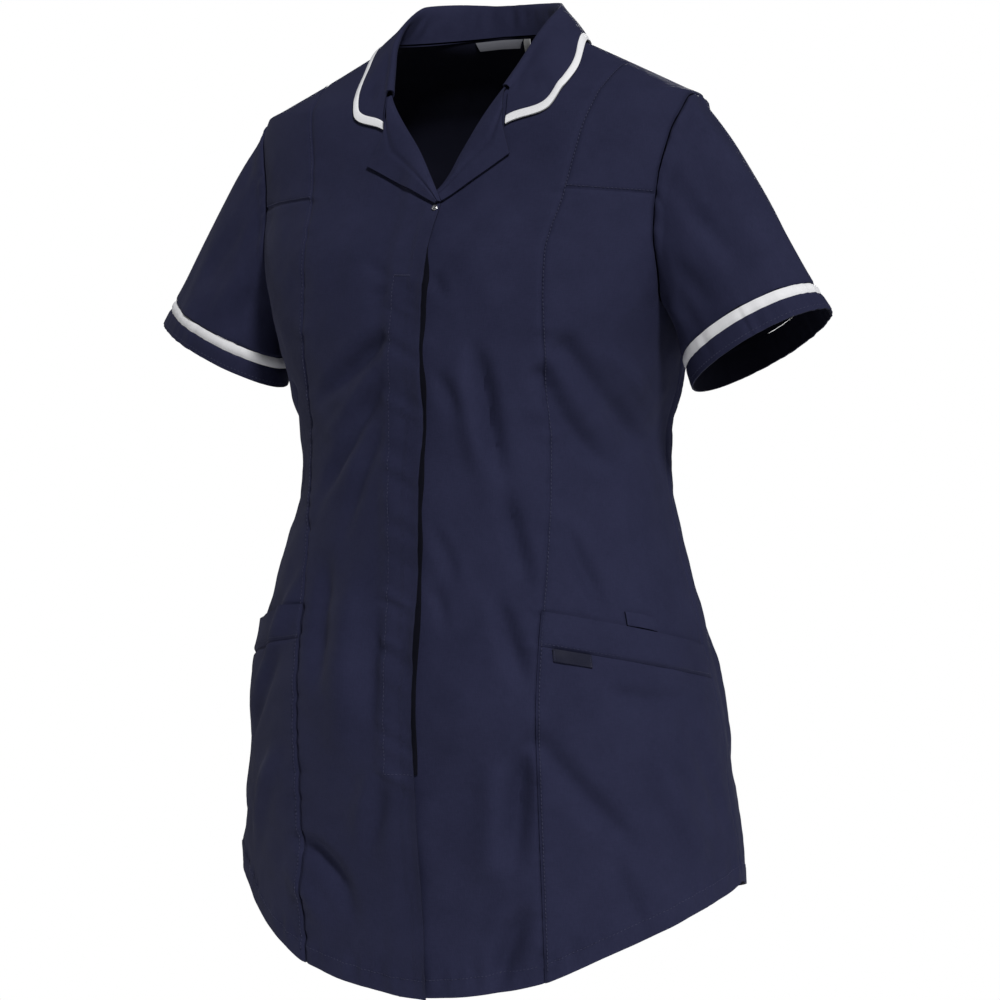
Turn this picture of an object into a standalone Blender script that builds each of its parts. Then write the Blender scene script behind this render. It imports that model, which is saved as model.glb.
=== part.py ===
"""Maternity tunic, filled out with no wearer: every cut piece is its own closed wall of cloth.

Metres, +Z up. The front faces -Y and the wearer's left is +X. The origin lies midway between the neck ends of
the shoulder seams. A place on the body is an angle round it, from the centre front and positive to the
wearer's left, and a height. A place above or below the cloth's outer face is its distance out along the normal.
"""

import bpy
import numpy as np
from mathutils import Vector

# Driving dimensions
WALL = 0.0012  # one layer of twill
DOUBLE_WALL = 0.0016  # two layers, pressed: collar, revers, bands
SEAM_GAP = 0.0003  # between pieces that meet or lie on each other
TRIM_GAP = 0.0006  # under small stiff trims, which don't bend with the cloth
LAP = 0.0145  # each front runs this far past the centre
PRINCESS_X = 0.108  # princess seams from the centre, chest to hem
BREAK_Z = -0.149  # where the front edge turns back into the revers
PLACKET_STITCH_X = -0.0145  # the line that holds the placket, on the wearer's right
PLACKET_RISE_WIDTH = 0.0135  # the front climbs over the placket's turnings across this width
PLACKET_FOOT_ROW = "placket foot"
PIPING_COLLAR = 0.0075
PIPING_SLEEVE = 0.009
CUFF_BAND = 0.0165
POCKET_GAPE = 0.0020  # how far the middle of a pocket's edge stands off
LOOP_HEIGHT = 0.0110
LABEL_HEIGHT = 0.0100
SHOULDER_DROP = 0.010  # the wearer's right shoulder hangs this much lower
STUD_RADIUS = 0.0024
STUD_HEIGHT = 0.0009

# The body of the tunic at each height: half width at the side line, how far the side line lies back, the centre
# front and centre back, and the roundness of the section (2 is an ellipse, more is squarer).
BODY = (
    # height, half_width, side_y, front_y, back_y, roundness
    (-0.800, 0.231, 0.040, -0.117, 0.156, 2.05),
    (-0.690, 0.2215, 0.035, -0.130, 0.151, 2.05),
    (-0.600, 0.212, 0.029, -0.141, 0.143, 2.05),
    (-0.550, 0.205, 0.023, -0.145, 0.135, 2.05),
    (-0.500, 0.195, 0.016, -0.140, 0.125, 2.05),
    (-0.440, 0.178, 0.023, -0.134, 0.112, 2.05),
    (-0.380, 0.1615, 0.033, -0.134, 0.104, 2.10),
    (-0.340, 0.1575, 0.037, -0.134, 0.102, 2.20),
    (-0.300, 0.1655, 0.037, -0.133, 0.104, 2.30),
    (-0.265, 0.1735, 0.029, -0.132, 0.107, 2.40),
    (-0.235, 0.1785, 0.018, -0.130, 0.112, 2.50),
    (-0.190, 0.188, 0.013, -0.122, 0.118, 2.50),
    (-0.149, 0.195, 0.011, -0.099, 0.118, 2.50),
    (-0.108, 0.199, 0.009, -0.0825, 0.111, 2.50),
    (-0.080, 0.200, 0.007, -0.074, 0.104, 2.50),
    (-0.056, 0.195, 0.005, -0.061, 0.095, 2.50),
    (-0.050, 0.1825, 0.0045, -0.055, 0.091, 2.50),
    (-0.028, 0.1365, 0.003, -0.0325, 0.078, 2.40),
    (0.000, 0.078, 0.000, -0.015, 0.055, 2.00),
    (0.004, 0.070, 0.000, -0.012, 0.0553, 2.00),
)

# Heights of the cross rows on each line that runs up the body, and how many rows lead up to the next.
ROWS = (
    # name, front_edge, princess, side, back_column, centre_back, steps_to_next
    ("hem", -0.790, -0.772, -0.702, -0.737, -0.756, 4),
    ("placket foot", -0.607, -0.612, -0.605, -0.612, -0.615, 3),
    ("band seam", -0.497, -0.502, -0.535, -0.525, -0.522, 1),
    ("pocket edge", -0.470, -0.475, -0.509, -0.495, -0.492, 6),
    ("underarm", -0.235, -0.235, -0.235, -0.235, -0.235, 3),
    ("chest seam", BREAK_Z, -0.137, -0.141, -0.141, -0.141, 7),
    ("shoulder", 0.000, -0.0285, -0.056, 0.000, 0.0035, 0),
)
# The shaped hem of each side front, across from the princess seam to the side seam.
HEM = (
    # share_of_width, left_height, right_height
    (0.00, -0.772, -0.772),
    (0.22, -0.751, -0.748),
    (0.60, -0.722, -0.703),
    (1.00, -0.702, -0.688),
)
SHOULDER_EASE = 1.6  # rows close up towards the crest of the shoulder

# Where each line that isn't straight lies, as its distance from the centre at each height.
PRINCESS = (
    # height, x
    (-0.235, PRINCESS_X),
    (-0.190, 0.108),
    (-0.137, 0.115),
    (-0.090, 0.122),
    (-0.060, 0.130),
    (-0.0285, 0.1375),
)
NECK = (
    # height, right_x, left_x
    (BREAK_Z, 0.0145, -0.0145),
    (-0.137, 0.0072, 0.0100),
    (-0.100, -0.0165, 0.0290),
    (-0.052, -0.0525, 0.0535),
    (-0.028, -0.0655, 0.0655),
    (-0.010, -0.0735, 0.0735),
    (0.000, -0.078, 0.078),
)
ARMHOLE = (
    # height, front_x, back_x
    (-0.235, 0.1785, 0.1785),
    (-0.226, 0.1770, 0.1760),
    (-0.2025, 0.1785, 0.1725),
    (-0.158, 0.1795, 0.1700),
    (-0.122, 0.1810, 0.1740),
    (-0.090, 0.1870, 0.1820),
    (-0.068, 0.1935, 0.1910),
    (-0.056, 0.1950, 0.1950),
)

# The largest folds, as soft troughs (depth below 0) and ridges, each through three places on the body.
FOLDS = (
    # angle_1, height_1, angle_2, height_2, angle_3, height_3, half_width, depth
    (-14.0, -0.279, -22.0, -0.298, -30.0, -0.318, 0.011, -0.0045),
    (-16.0, -0.320, -24.0, -0.355, -32.0, -0.410, 0.010, -0.0035),
    (-17.0, -0.437, -16.0, -0.518, -15.0, -0.600, 0.016, 0.0040),
    (-29.0, -0.438, -27.0, -0.487, -22.0, -0.551, 0.012, -0.0030),
    (-24.0, -0.670, -17.0, -0.694, -13.0, -0.746, 0.010, -0.0035),
    (-50.0, -0.440, -58.0, -0.540, -70.0, -0.600, 0.012, 0.0040),
    (-50.0, -0.590, -56.0, -0.640, -62.0, -0.690, 0.012, 0.0035),
    (18.0, -0.254, 24.0, -0.321, 30.0, -0.387, 0.012, -0.0045),
    (29.0, -0.379, 30.0, -0.419, 31.0, -0.458, 0.010, -0.0045),
    (24.0, -0.462, 27.0, -0.501, 30.0, -0.537, 0.010, -0.0040),
    (27.0, -0.580, 25.0, -0.629, 22.0, -0.696, 0.010, -0.0060),
    (25.0, -0.712, 21.0, -0.746, 17.0, -0.785, 0.010, -0.0050),
    (43.0, -0.272, 60.0, -0.316, 85.0, -0.362, 0.013, -0.0035),
    (37.0, -0.293, 50.0, -0.338, 66.0, -0.372, 0.012, -0.0035),
    (43.0, -0.403, 48.0, -0.443, 52.0, -0.480, 0.011, -0.0030),
    (33.0, -0.584, 43.0, -0.634, 53.0, -0.671, 0.012, -0.0025),
    (60.0, -0.590, 66.0, -0.640, 74.0, -0.700, 0.016, 0.0040),
    (100.0, -0.300, 112.0, -0.350, 128.0, -0.420, 0.016, -0.0050),
    (120.0, -0.420, 128.0, -0.530, 138.0, -0.640, 0.018, -0.0055),
    (150.0, -0.360, 153.0, -0.460, 160.0, -0.560, 0.018, 0.0050),
    (172.0, -0.330, 174.0, -0.420, 178.0, -0.500, 0.016, -0.0045),
    (-100.0, -0.300, -110.0, -0.350, -124.0, -0.410, 0.016, -0.0050),
    (-122.0, -0.400, -133.0, -0.510, -140.0, -0.620, 0.018, -0.0055),
    (-152.0, -0.340, -156.0, -0.440, -163.0, -0.540, 0.018, 0.0050),
    (-170.0, -0.560, -173.0, -0.640, -174.0, -0.720, 0.018, -0.0045),
)
ROUND_PER_RADIAN = 0.165  # metres of cloth round the body for a radian, for the folds' widths

# Sleeve rings: the end of the sleeve proper, where the piping starts, and the cuff's edge.
SLEEVES = (
    # side, ring, centre_x, centre_y, centre_z, half_width, half_depth, lean_deg, tip_deg
    ("left", "band", 0.2435, 0.0003, -0.2451, 0.0625, 0.0460, 29.9, 8.6),
    ("left", "edge", 0.2550, -0.0030, -0.2670, 0.0660, 0.0420, 29.9, 8.6),
    ("right", "band", 0.2335, -0.0010, -0.2443, 0.0590, 0.0460, 27.0, -4.0),
    ("right", "edge", 0.2425, 0.0000, -0.2670, 0.0640, 0.0420, 27.0, -4.0),
)
SLEEVE_PUFF = 0.020
SLEEVE_STEPS = 6
ARMHOLE_GAP = 0.0008  # the sleeve turns sharply at the armhole, so its wall starts a little further off

# The collar from the centre back round to its front end: the top of its roll, and where its outer edge lies on
# the shoulders in plan, on the wearer's left and right.
COLLAR = (
    # along, roll_y, left_roll_x, left_roll_z, left_x, left_y, right_roll_x, right_roll_z, right_x, right_y
    (0.00, 0.0610, 0.0000, 0.0335, 0.0000, 0.0845, 0.0000, 0.0335, 0.0000, 0.0845),
    (0.17, 0.0545, 0.0330, 0.0325, 0.0450, 0.0745, 0.0330, 0.0350, 0.0440, 0.0745),
    (0.34, 0.0290, 0.0630, 0.0275, 0.0830, 0.0460, 0.0600, 0.0310, 0.0800, 0.0460),
    (0.50, -0.0020, 0.0740, 0.0175, 0.0985, 0.0040, 0.0650, 0.0130, 0.0930, 0.0050),
    (0.66, -0.0230, 0.0685, -0.0005, 0.1060, -0.0325, 0.0640, -0.0045, 0.0915, -0.0310),
    (0.83, -0.0410, 0.0590, -0.0270, 0.0960, -0.0635, 0.0590, -0.0280, 0.0815, -0.0650),
    (1.00, -0.0590, 0.0530, -0.0490, 0.0605, -0.0735, 0.0530, -0.0490, 0.0505, -0.0735),
)
COLLAR_SEAM_OFFSET = 0.0011  # the stand starts just inside the neck edge, clear of its wall
STAND_SHARES = (0.0, 0.45, 0.85)
STAND_HOLLOW = 0.002
ROLL_RADIUS = 0.0017
FALL_SHARES = (0.22, 0.44, 0.63, 1.0)  # the last step is longer than the piping is wide
FALL_BELLY = 0.004
COLLAR_GAP = 0.0012  # under the fall, which spans the rounded crest of the shoulder in short straight steps
COLLAR_SPLIT_GAP = 0.0004  # each side of the line between the fall and its piping, which bends round the neck
NECK_POINT_ALONG = 0.44  # where the shoulder seam meets the collar
COLLAR_STEPS = 18
GORGE_Z = -0.052  # the collar's front end on the roll line

# Revers: corners of the turned-back flap as places on the front, from the gorge round to the tip.
REVERS = (
    # side, gorge_x, gorge_z, corner_x, corner_z, tip_x, tip_z, root_end_z
    ("left", 0.0580, -0.0840, 0.0670, -0.1080, 0.0150, -0.1465, -0.1370),
    ("right", -0.0475, -0.0840, -0.0600, -0.1130, 0.0110, -0.1500, -0.1470),
)

# Small trims as patches on the body: angles from and to, and height below the line that they hang from.
LOOP_ANGLES = (57.5, 67.5)
POCKET_LABEL_ANGLES = (36.5, 46.0)
NECK_LABEL = (-0.025, 0.020, 0.0015, -0.0045)  # x from, x to, top, bottom
CARE_LABEL = (0.0212, 0.0277, 0.0015, -0.0085)
LABEL_HANG = 0.15  # how fast the neck labels leave the back on their way down
STUD_PLACE = (0.0110, -0.1530)  # x and height


def smooth_curve(table, column, key=0):
    """A cubic through one column of a table, with no overshoot between its rows."""
    rows = sorted(table, key=lambda row: row[key])
    xs = np.array([row[key] for row in rows], float)
    ys = np.array([row[column] for row in rows], float)
    steps = np.diff(xs)
    rates = np.diff(ys) / steps
    slopes = np.concatenate((rates[:1], np.zeros(len(xs) - 2), rates[-1:]))
    product = rates[1:] * rates[:-1]
    total = np.where(product > 0, rates[1:] + rates[:-1], 1.0)
    slopes[1:-1] = np.where(product > 0, 2 * product / total, 0.0)

    def value(x):
        x = np.clip(x, xs[0], xs[-1])
        i = np.clip(np.searchsorted(xs, x, side="right") - 1, 0, len(xs) - 2)
        t = (x - xs[i]) / steps[i]
        rise = t * t * (3 - 2 * t)
        lead = t * (1 - t) ** 2 * steps[i] * slopes[i]
        tail = t * t * (t - 1) * steps[i] * slopes[i + 1]
        return ys[i] + (ys[i + 1] - ys[i]) * rise + lead + tail

    return value


half_width, side_y, front_y, back_y, roundness = (smooth_curve(BODY, column) for column in range(1, 6))
princess_x = smooth_curve(PRINCESS, 1)
neck_x = {"right": smooth_curve(NECK, 1), "left": smooth_curve(NECK, 2)}
armhole_x = {"front": smooth_curve(ARMHOLE, 1), "back": smooth_curve(ARMHOLE, 2)}


def unit(vectors):
    return vectors / np.maximum(np.linalg.norm(vectors, axis=-1, keepdims=True), 1e-12)


def ease(t):
    """From 0 to 1 with level ends."""
    t = np.clip(t, 0.0, 1.0)
    return t * t * (3 - 2 * t)


# ---------------------------------------------------------------- the body's surface


def body_point(angle, height):
    angle, height = np.broadcast_arrays(np.asarray(angle, float), np.asarray(height, float))
    power = roundness(height)
    across, ahead = np.sin(angle), np.cos(angle)
    reach = (abs(across) ** power + abs(ahead) ** power) ** (-1 / power)
    line = side_y(height)
    depth = np.where(ahead > 0, line - front_y(height), back_y(height) - line)
    x = half_width(height) * reach * across
    return np.stack((x, line - depth * reach * ahead, height - shoulder_drop(x, height)), axis=-1)


def shoulder_drop(x, height):
    """How much lower the cloth lies towards the point of the wearer's right shoulder."""
    return SHOULDER_DROP * np.clip(-x / half_width(-0.080), 0.0, 1.0) * ease((height + 0.180) / 0.100)


def body_normal(angle, height):
    step = 1e-4
    round_it = body_point(angle + step, height) - body_point(angle - step, height)
    up_it = body_point(angle, height + step) - body_point(angle, height - step)
    return unit(np.cross(round_it, up_it))


def angle_at(x, height, half="front"):
    """The angle at which the section at this height reaches this distance from the centre."""
    x, height = np.broadcast_arrays(np.asarray(x, float), np.asarray(height, float))
    power = roundness(height)
    share = np.clip(abs(x) / half_width(height), 0.0, 1.0)
    ahead = (1 - share**power) ** (1 / power)
    angle = np.arctan2(share, ahead if half == "front" else -ahead)
    return np.copysign(angle, x)


def fold_height(angle, height):
    """How far the folds lift or sink the cloth at a place."""
    total = np.zeros(np.broadcast(angle, height).shape)
    for *places, half_wide, depth in FOLDS:
        nearest = np.full(total.shape, np.inf)
        turn = (angle - np.radians(places[0]) + np.pi) % (2 * np.pi) - np.pi
        for k in (0, 2):
            along = height - places[k + 1]
            across = (turn - np.radians(places[k] - places[0])) * ROUND_PER_RADIAN
            run_across = np.radians(places[k + 2] - places[k]) * ROUND_PER_RADIAN
            run_along = places[k + 3] - places[k + 1]
            share = (across * run_across + along * run_along) / (run_across**2 + run_along**2)
            share = np.clip(share, 0.0, 1.0)
            squared = (across - share * run_across) ** 2 + (along - share * run_along) ** 2
            nearest = np.minimum(nearest, squared)
        total = total + depth * np.exp(-nearest / half_wide**2)
    return total


def cloth_point(angle, height, out=0.0):
    """A point at a distance out from the body's outer face, folds included."""
    lifted = np.asarray(fold_height(angle, height) + out)[..., None]
    return body_point(angle, height) + body_normal(angle, height) * lifted


def placket_rise(x, height):
    """How far the wearer's right front stands off, to pass over the left front and the placket."""
    step = ease((x - (PLACKET_STITCH_X - PLACKET_RISE_WIDTH)) / PLACKET_RISE_WIDTH)
    foot = row_heights("front_edge")[row_number(PLACKET_FOOT_ROW)]
    over_placket = ease((height - foot + 0.020) / 0.018)
    lap_only = WALL + SEAM_GAP
    at_neck = 1 - ease((height + 0.130) / 0.030)
    return step * (lap_only + lap_only * over_placket) * at_neck


# ---------------------------------------------------------------- rows and lines of the pattern

LINES = ("front_edge", "princess", "side", "back_column", "centre_back")


def row_number(name):
    """The index of a named row, counted from the hem."""
    names = [row[0] for row in ROWS]
    return sum(row[-1] for row in ROWS[: names.index(name)])


def row_heights(line):
    """The height of every row where it crosses a line."""
    column = 1 + LINES.index(line)
    heights = []
    for row, following in zip(ROWS, ROWS[1:]):
        shares = np.arange(row[-1]) / row[-1]
        if following[0] == "shoulder":
            shares = 1 - (1 - shares) ** SHOULDER_EASE
        heights.extend(row[column] + (following[column] - row[column]) * shares)
    heights.append(ROWS[-1][column])
    return np.array(heights)


def row_angles(line, side):
    """The angle of every row where it crosses a line, on the wearer's right or left."""
    sign = 1 if side == "left" else -1
    heights = row_heights(line)
    below_chest = np.arange(len(heights)) <= row_number("chest seam")
    under_arm = np.arange(len(heights)) <= row_number("underarm")
    if line == "front_edge":
        x = np.where(below_chest, -sign * LAP, neck_x[side](heights))
        angles = angle_at(x, heights)
    elif line == "princess":
        angles = angle_at(sign * princess_x(heights), heights)
    elif line == "back_column":
        angles = angle_at(np.full(len(heights), sign * 0.078), heights, "back")
    elif line == "centre_back":
        angles = np.full(len(heights), sign * np.pi)
    else:
        angles = np.where(under_arm, sign * np.pi / 2, 0.0)
    if line in ("front_edge", "princess", "back_column"):
        angles[-1] = sign * np.pi / 2
    return angles


def armhole_angles(side, half):
    """The side line's angles, which split round the armhole above the underarm."""
    sign = 1 if side == "left" else -1
    heights = row_heights("side")
    angles = angle_at(sign * armhole_x[half](heights), heights, half)
    angles[: row_number("underarm") + 1] = sign * np.pi / 2
    angles[-1] = sign * np.pi / 2
    return angles


def between(start, end, shares):
    """Columns between two lines of places, one for each share of the way."""
    return start[:, None] + (end - start)[:, None] * shares[None, :]


def front_grid(side):
    """Places of a centre front, from its edge to the princess seam."""
    stations = np.concatenate(([-LAP, 0.0, LAP, LAP + PLACKET_RISE_WIDTH], np.linspace(0.041, PRINCESS_X, 6)))
    shares = (stations + LAP) / (PRINCESS_X + LAP)
    angles = between(row_angles("front_edge", side), row_angles("princess", side), shares)
    heights = between(row_heights("front_edge"), row_heights("princess"), shares**1.9)
    return angles, heights


def side_heights(side):
    """The rows on a side seam, whose hem lies higher on the wearer's right."""
    heights = row_heights("side")
    heights[0] = HEM[-1][1 if side == "left" else 2]
    return heights


def side_front_grid(side, columns=9):
    """Places of a side front, from the princess seam to the side seam and the armhole."""
    shares = np.linspace(0, 1, columns)
    angles = between(row_angles("princess", side), armhole_angles(side, "front"), shares)
    heights = between(row_heights("princess"), side_heights(side), shares)
    heights[0] = smooth_curve(HEM, 1 if side == "left" else 2)(shares)
    return angles, heights


def back_grid(outer_columns=6, inner_columns=6):
    """Places of the back, from the wearer's left side seam round to the right one."""
    outer, inner = np.linspace(0, 1, outer_columns), np.linspace(0, 1, inner_columns)[1:]
    halves = {}
    for side in ("left", "right"):
        column, centre = row_angles("back_column", side), row_angles("centre_back", side)
        angles = [between(armhole_angles(side, "back"), column, outer), between(column, centre, inner)]
        heights = [
            between(side_heights(side), row_heights("back_column"), outer),
            between(row_heights("back_column"), row_heights("centre_back"), inner),
        ]
        halves[side] = np.hstack(angles), np.hstack(heights)
    left, right = halves["left"], halves["right"]
    angles = np.hstack((left[0], right[0][:, -2::-1] + 2 * np.pi))
    heights = np.hstack((left[1], right[1][:, -2::-1]))
    return angles, heights


def trimmed(angles, heights, edges, gap=SEAM_GAP / 2):
    """Draws the named edges of a grid of places in by half the seam gap."""
    angles, heights = angles.copy(), heights.copy()
    points = body_point(angles, heights)
    pairs = {
        "first column": (np.s_[:, 0], np.s_[:, 1]),
        "last column": (np.s_[:, -1], np.s_[:, -2]),
        "first row": (np.s_[0, :], np.s_[1, :]),
        "last row": (np.s_[-1, :], np.s_[-2, :]),
    }
    for edge in edges:
        here, inside = pairs[edge]
        share = gap / np.linalg.norm(points[inside] - points[here], axis=-1)
        angles[here] += (angles[inside] - angles[here]) * share
        heights[here] += (heights[inside] - heights[here]) * share
    return angles, heights


# ---------------------------------------------------------------- meshes


def material(name, colour, roughness, metallic=0.0):
    made = bpy.data.materials.new(name)
    made.use_nodes = True
    shader = made.node_tree.nodes["Principled BSDF"]
    shader.inputs["Base Color"].default_value = (*colour, 1.0)
    shader.inputs["Roughness"].default_value = roughness
    shader.inputs["Metallic"].default_value = metallic
    made.diffuse_color = (*colour, 1.0)
    return made


def add_object(name, vertices, faces, surface, sharp_angle=0.6):
    mesh = bpy.data.meshes.new(name)
    mesh.from_pydata([tuple(v) for v in vertices], [], faces)
    mesh.materials.append(surface)
    mesh.shade_smooth()
    mesh.set_sharp_from_angle(angle=sharp_angle)
    thing = bpy.data.objects.new(name, mesh)
    bpy.context.scene.collection.objects.link(thing)
    thing.parent = bpy.data.objects["tunic"]
    return thing


def wall_between(name, outer, inner, surface, ring=False):
    """A closed wall between two grids of points; a ring's columns close on themselves."""
    rows, columns = outer.shape[:2]
    vertices = np.concatenate((outer.reshape(-1, 3), inner.reshape(-1, 3)))
    shift = rows * columns
    faces = []

    def quad(a, b, c, d):
        faces.append((a, b, c))
        faces.append((a, c, d))

    spans = columns if ring else columns - 1
    for i in range(rows - 1):
        for j in range(spans):
            k = (j + 1) % columns
            a, b = i * columns + j, i * columns + k
            c, d = a + columns, b + columns
            quad(a, b, d, c)
            quad(a + shift, c + shift, d + shift, b + shift)
    for j in range(spans):
        k = (j + 1) % columns
        top = (rows - 1) * columns
        quad(j, j + shift, k + shift, k)
        quad(top + j, top + k, top + k + shift, top + j + shift)
    if not ring:
        for i in range(rows - 1):
            a, c = i * columns, (i + 1) * columns
            quad(a, c, c + shift, a + shift)
            quad(a + columns - 1, a + columns - 1 + shift, c + columns - 1 + shift, c + columns - 1)
    corners = vertices[np.array(faces)]
    volume = np.einsum("ij,ij->i", corners[:, 0], np.cross(corners[:, 1], corners[:, 2])).sum()
    if volume < 0:
        faces = [face[::-1] for face in faces]
    return add_object(name, vertices, faces, surface)


def panel(name, angles, heights, surface, out=0.0, wall=WALL):
    """A cloth piece on the body: `out` is how far its outer face stands off."""
    outer = cloth_point(angles, heights, out)
    inner = cloth_point(angles, heights, out - wall)
    return wall_between(name, outer, inner, surface)


def on_facets(angles, heights, out, at_angle, at_height):
    """Points and normals on a panel's own flat facets, at places inside its grid."""
    points, normals = cloth_point(angles, heights, out), body_normal(angles, heights)
    corner = {"a": np.s_[:-1, :-1], "b": np.s_[:-1, 1:], "c": np.s_[1:, :-1], "d": np.s_[1:, 1:]}

    def triangles(grid):
        halves = [np.stack([grid[corner[k]] for k in names], axis=2) for names in ("abd", "adc")]
        return np.concatenate([half.reshape(-1, 3, *half.shape[3:]) for half in halves])

    ax, hx, px, nx = (triangles(grid) for grid in (angles, heights, points, normals))
    found_points, found_normals = [], []
    for angle, height in zip(np.ravel(at_angle), np.ravel(at_height)):
        sides = np.stack((ax, hx, np.ones_like(ax)), axis=1)
        weights = np.linalg.solve(sides, np.broadcast_to([[angle], [height], [1.0]], (len(ax), 3, 1)))[..., 0]
        best = weights.min(axis=1).argmax()
        found_points.append(weights[best] @ px[best])
        found_normals.append(weights[best] @ nx[best])
    shape = (*np.shape(at_angle), 3)
    return np.reshape(found_points, shape), unit(np.reshape(found_normals, shape))


def patch(name, grid, grid_out, angles, heights, surface, gap, wall):
    """A small piece that lies on a panel's facets; a negative gap puts it on the panel's inner face."""
    points, normals = on_facets(*grid, grid_out, angles, heights)
    near = points + normals * np.asarray(gap)[..., None]
    far = near + normals * (wall if np.mean(gap) > 0 else -wall)
    return wall_between(name, near, far, surface)


# ---------------------------------------------------------------- the body's pieces


def build_fronts(navy):
    for side in ("left", "right"):
        edges = ["last column", "last row"]
        angles, heights = trimmed(*front_grid(side), edges)
        rise = 0.0
        if side == "right":
            rise = placket_rise(body_point(angles, heights)[..., 0], heights)
        panel(f"front_{side}", angles, heights, navy, out=rise)


def build_placket(navy):
    """The strip under the wearer's right front, between it and the left front."""
    low, high = row_number(PLACKET_FOOT_ROW), row_number("underarm") + 2
    heights = row_heights("front_edge")[low : high + 1]
    xs = np.array([LAP - 0.002, 0.0, 0.002 - LAP])
    heights = np.repeat(heights[:, None], len(xs), axis=1)
    angles = angle_at(np.broadcast_to(xs, heights.shape), heights)
    panel("placket", angles, heights, navy, out=WALL + SEAM_GAP)


def build_side_fronts(navy):
    seam = row_number("chest seam")
    for side in ("left", "right"):
        angles, heights = side_front_grid(side)
        low = trimmed(angles[: seam + 1], heights[: seam + 1], ["first column", "last column", "last row"])
        high = trimmed(angles[seam:], heights[seam:], ["first column", "last column", "first row", "last row"])
        panel(f"side_front_{side}", *low, navy)
        panel(f"chest_yoke_{side}", *high, navy)


def build_back(navy):
    angles, heights = trimmed(*back_grid(), ["first column", "last column", "last row"])
    panel("back", angles, heights, navy)


# ---------------------------------------------------------------- pockets and their trims


def pocket_grid(side, first_row, last_row):
    low, high = row_number(first_row), row_number(last_row)
    angles, heights = side_front_grid(side)
    return angles[low : high + 1], heights[low : high + 1]


def build_pockets(navy):
    for side in ("left", "right"):
        edges = ["first column", "last column", "last row"]
        angles, heights = trimmed(*pocket_grid(side, "hem", "band seam"), edges)
        panel(f"pocket_{side}", angles, heights, navy, out=SEAM_GAP + WALL)
        edges = ["first column", "last column", "first row"]
        angles, heights = trimmed(*pocket_grid(side, "band seam", "pocket edge"), edges)
        across = np.linspace(0, 1, angles.shape[1])
        gape = POCKET_GAPE * np.sin(np.pi * across) ** 0.7 * np.array([[0.0], [1.0]])
        panel(f"pocket_band_{side}", angles, heights, navy, out=SEAM_GAP + DOUBLE_WALL + gape, wall=DOUBLE_WALL)


def height_on_row(angle, row):
    """The height of a named row of the wearer's left side front at an angle."""
    angles, heights = side_front_grid("left")
    number = row_number(row)
    return np.interp(angle, angles[number], heights[number])


def build_pocket_trims(navy, label):
    angles = np.tile(np.radians(np.linspace(*LOOP_ANGLES, 7)), (2, 1))
    foot = height_on_row(angles[0], "pocket edge") + 0.0012
    heights = np.stack((foot, foot + LOOP_HEIGHT))
    arch = 0.0015 * np.sin(np.linspace(0, np.pi, 7)) * np.ones((2, 1))
    patch("pocket_loop", side_front_grid("left"), 0.0, angles, heights, navy, TRIM_GAP + arch, WALL)
    angles = np.tile(np.radians(np.linspace(*POCKET_LABEL_ANGLES, 4)), (2, 1))
    top = height_on_row(angles[0], "band seam") - 0.0006
    heights = np.stack((top - LABEL_HEIGHT, top))
    pocket = pocket_grid("left", "hem", "band seam")
    patch("pocket_label", pocket, SEAM_GAP + WALL, angles, heights, label, TRIM_GAP * np.ones((2, 4)), 0.0010)


# ---------------------------------------------------------------- sleeves


def armhole_ring(side):
    """Points of the armhole from the shoulder down the front, then up the back, and their outward normals."""
    heights = row_heights("side")[row_number("underarm") :]
    front = armhole_angles(side, "front")[row_number("underarm") :]
    back = armhole_angles(side, "back")[row_number("underarm") :]
    angles = np.concatenate((front[::-1], back[1:-1]))
    heights = np.concatenate((heights[::-1], heights[1:-1]))
    return cloth_point(angles, heights), body_normal(angles, heights)


def cuff_frame(side, ring):
    """Centre and the width and depth half axes of a sleeve ring."""
    sign = 1 if side == "left" else -1
    row = next(row for row in SLEEVES if row[:2] == (side, ring))
    x, y, z, half_wide, half_deep, lean, tip = row[2:]
    lean, tip = np.radians((lean, tip))
    outward = np.array([sign * np.cos(lean), 0.0, np.sin(lean)])
    down = np.array([sign * np.sin(lean), 0.0, -np.cos(lean)])
    forward = -np.cos(tip) * np.array([0.0, 1.0, 0.0]) - np.sin(tip) * down
    return np.array([sign * x, y, z]), outward * half_wide, forward * half_deep


def sleeve_ring(side, ring, turns):
    centre, outward, forward = cuff_frame(side, ring)
    return centre + np.cos(turns)[:, None] * outward + np.sin(turns)[:, None] * forward


def ring_turns(points):
    """A half turn for the front of a ring and one for the back, by length along each."""
    half = len(points) // 2
    lengths = np.linalg.norm(np.roll(points, -1, axis=0) - points, axis=1)
    front = np.concatenate(([0.0], np.cumsum(lengths[:half])))
    back = np.concatenate(([0.0], np.cumsum(lengths[half:])))
    return np.concatenate((front[:-1] / front[-1], 1 + back[:-1] / back[-1])) * np.pi


def sleeve_rows(side):
    """Rings of points from the armhole to where the piping starts, then to the cuff's edge."""
    armhole, normals = armhole_ring(side)
    turns = ring_turns(armhole)
    band, edge = sleeve_ring(side, "band", turns), sleeve_ring(side, "edge", turns)
    run = band - armhole
    start, finish = run + SLEEVE_PUFF * normals, run - 0.3 * SLEEVE_PUFF * normals
    rows = []
    for t in np.linspace(0, 1, SLEEVE_STEPS + 1):
        rise = t * t * (3 - 2 * t)
        rows.append(armhole + run * rise + start * t * (1 - t) ** 2 + finish * t * t * (t - 1))
    piping_share = PIPING_SLEEVE / (PIPING_SLEEVE + CUFF_BAND)
    for share in (piping_share, (1 + piping_share) / 2, 1.0):
        rows.append(band + (edge - band) * share)
    return np.array(rows)


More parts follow.
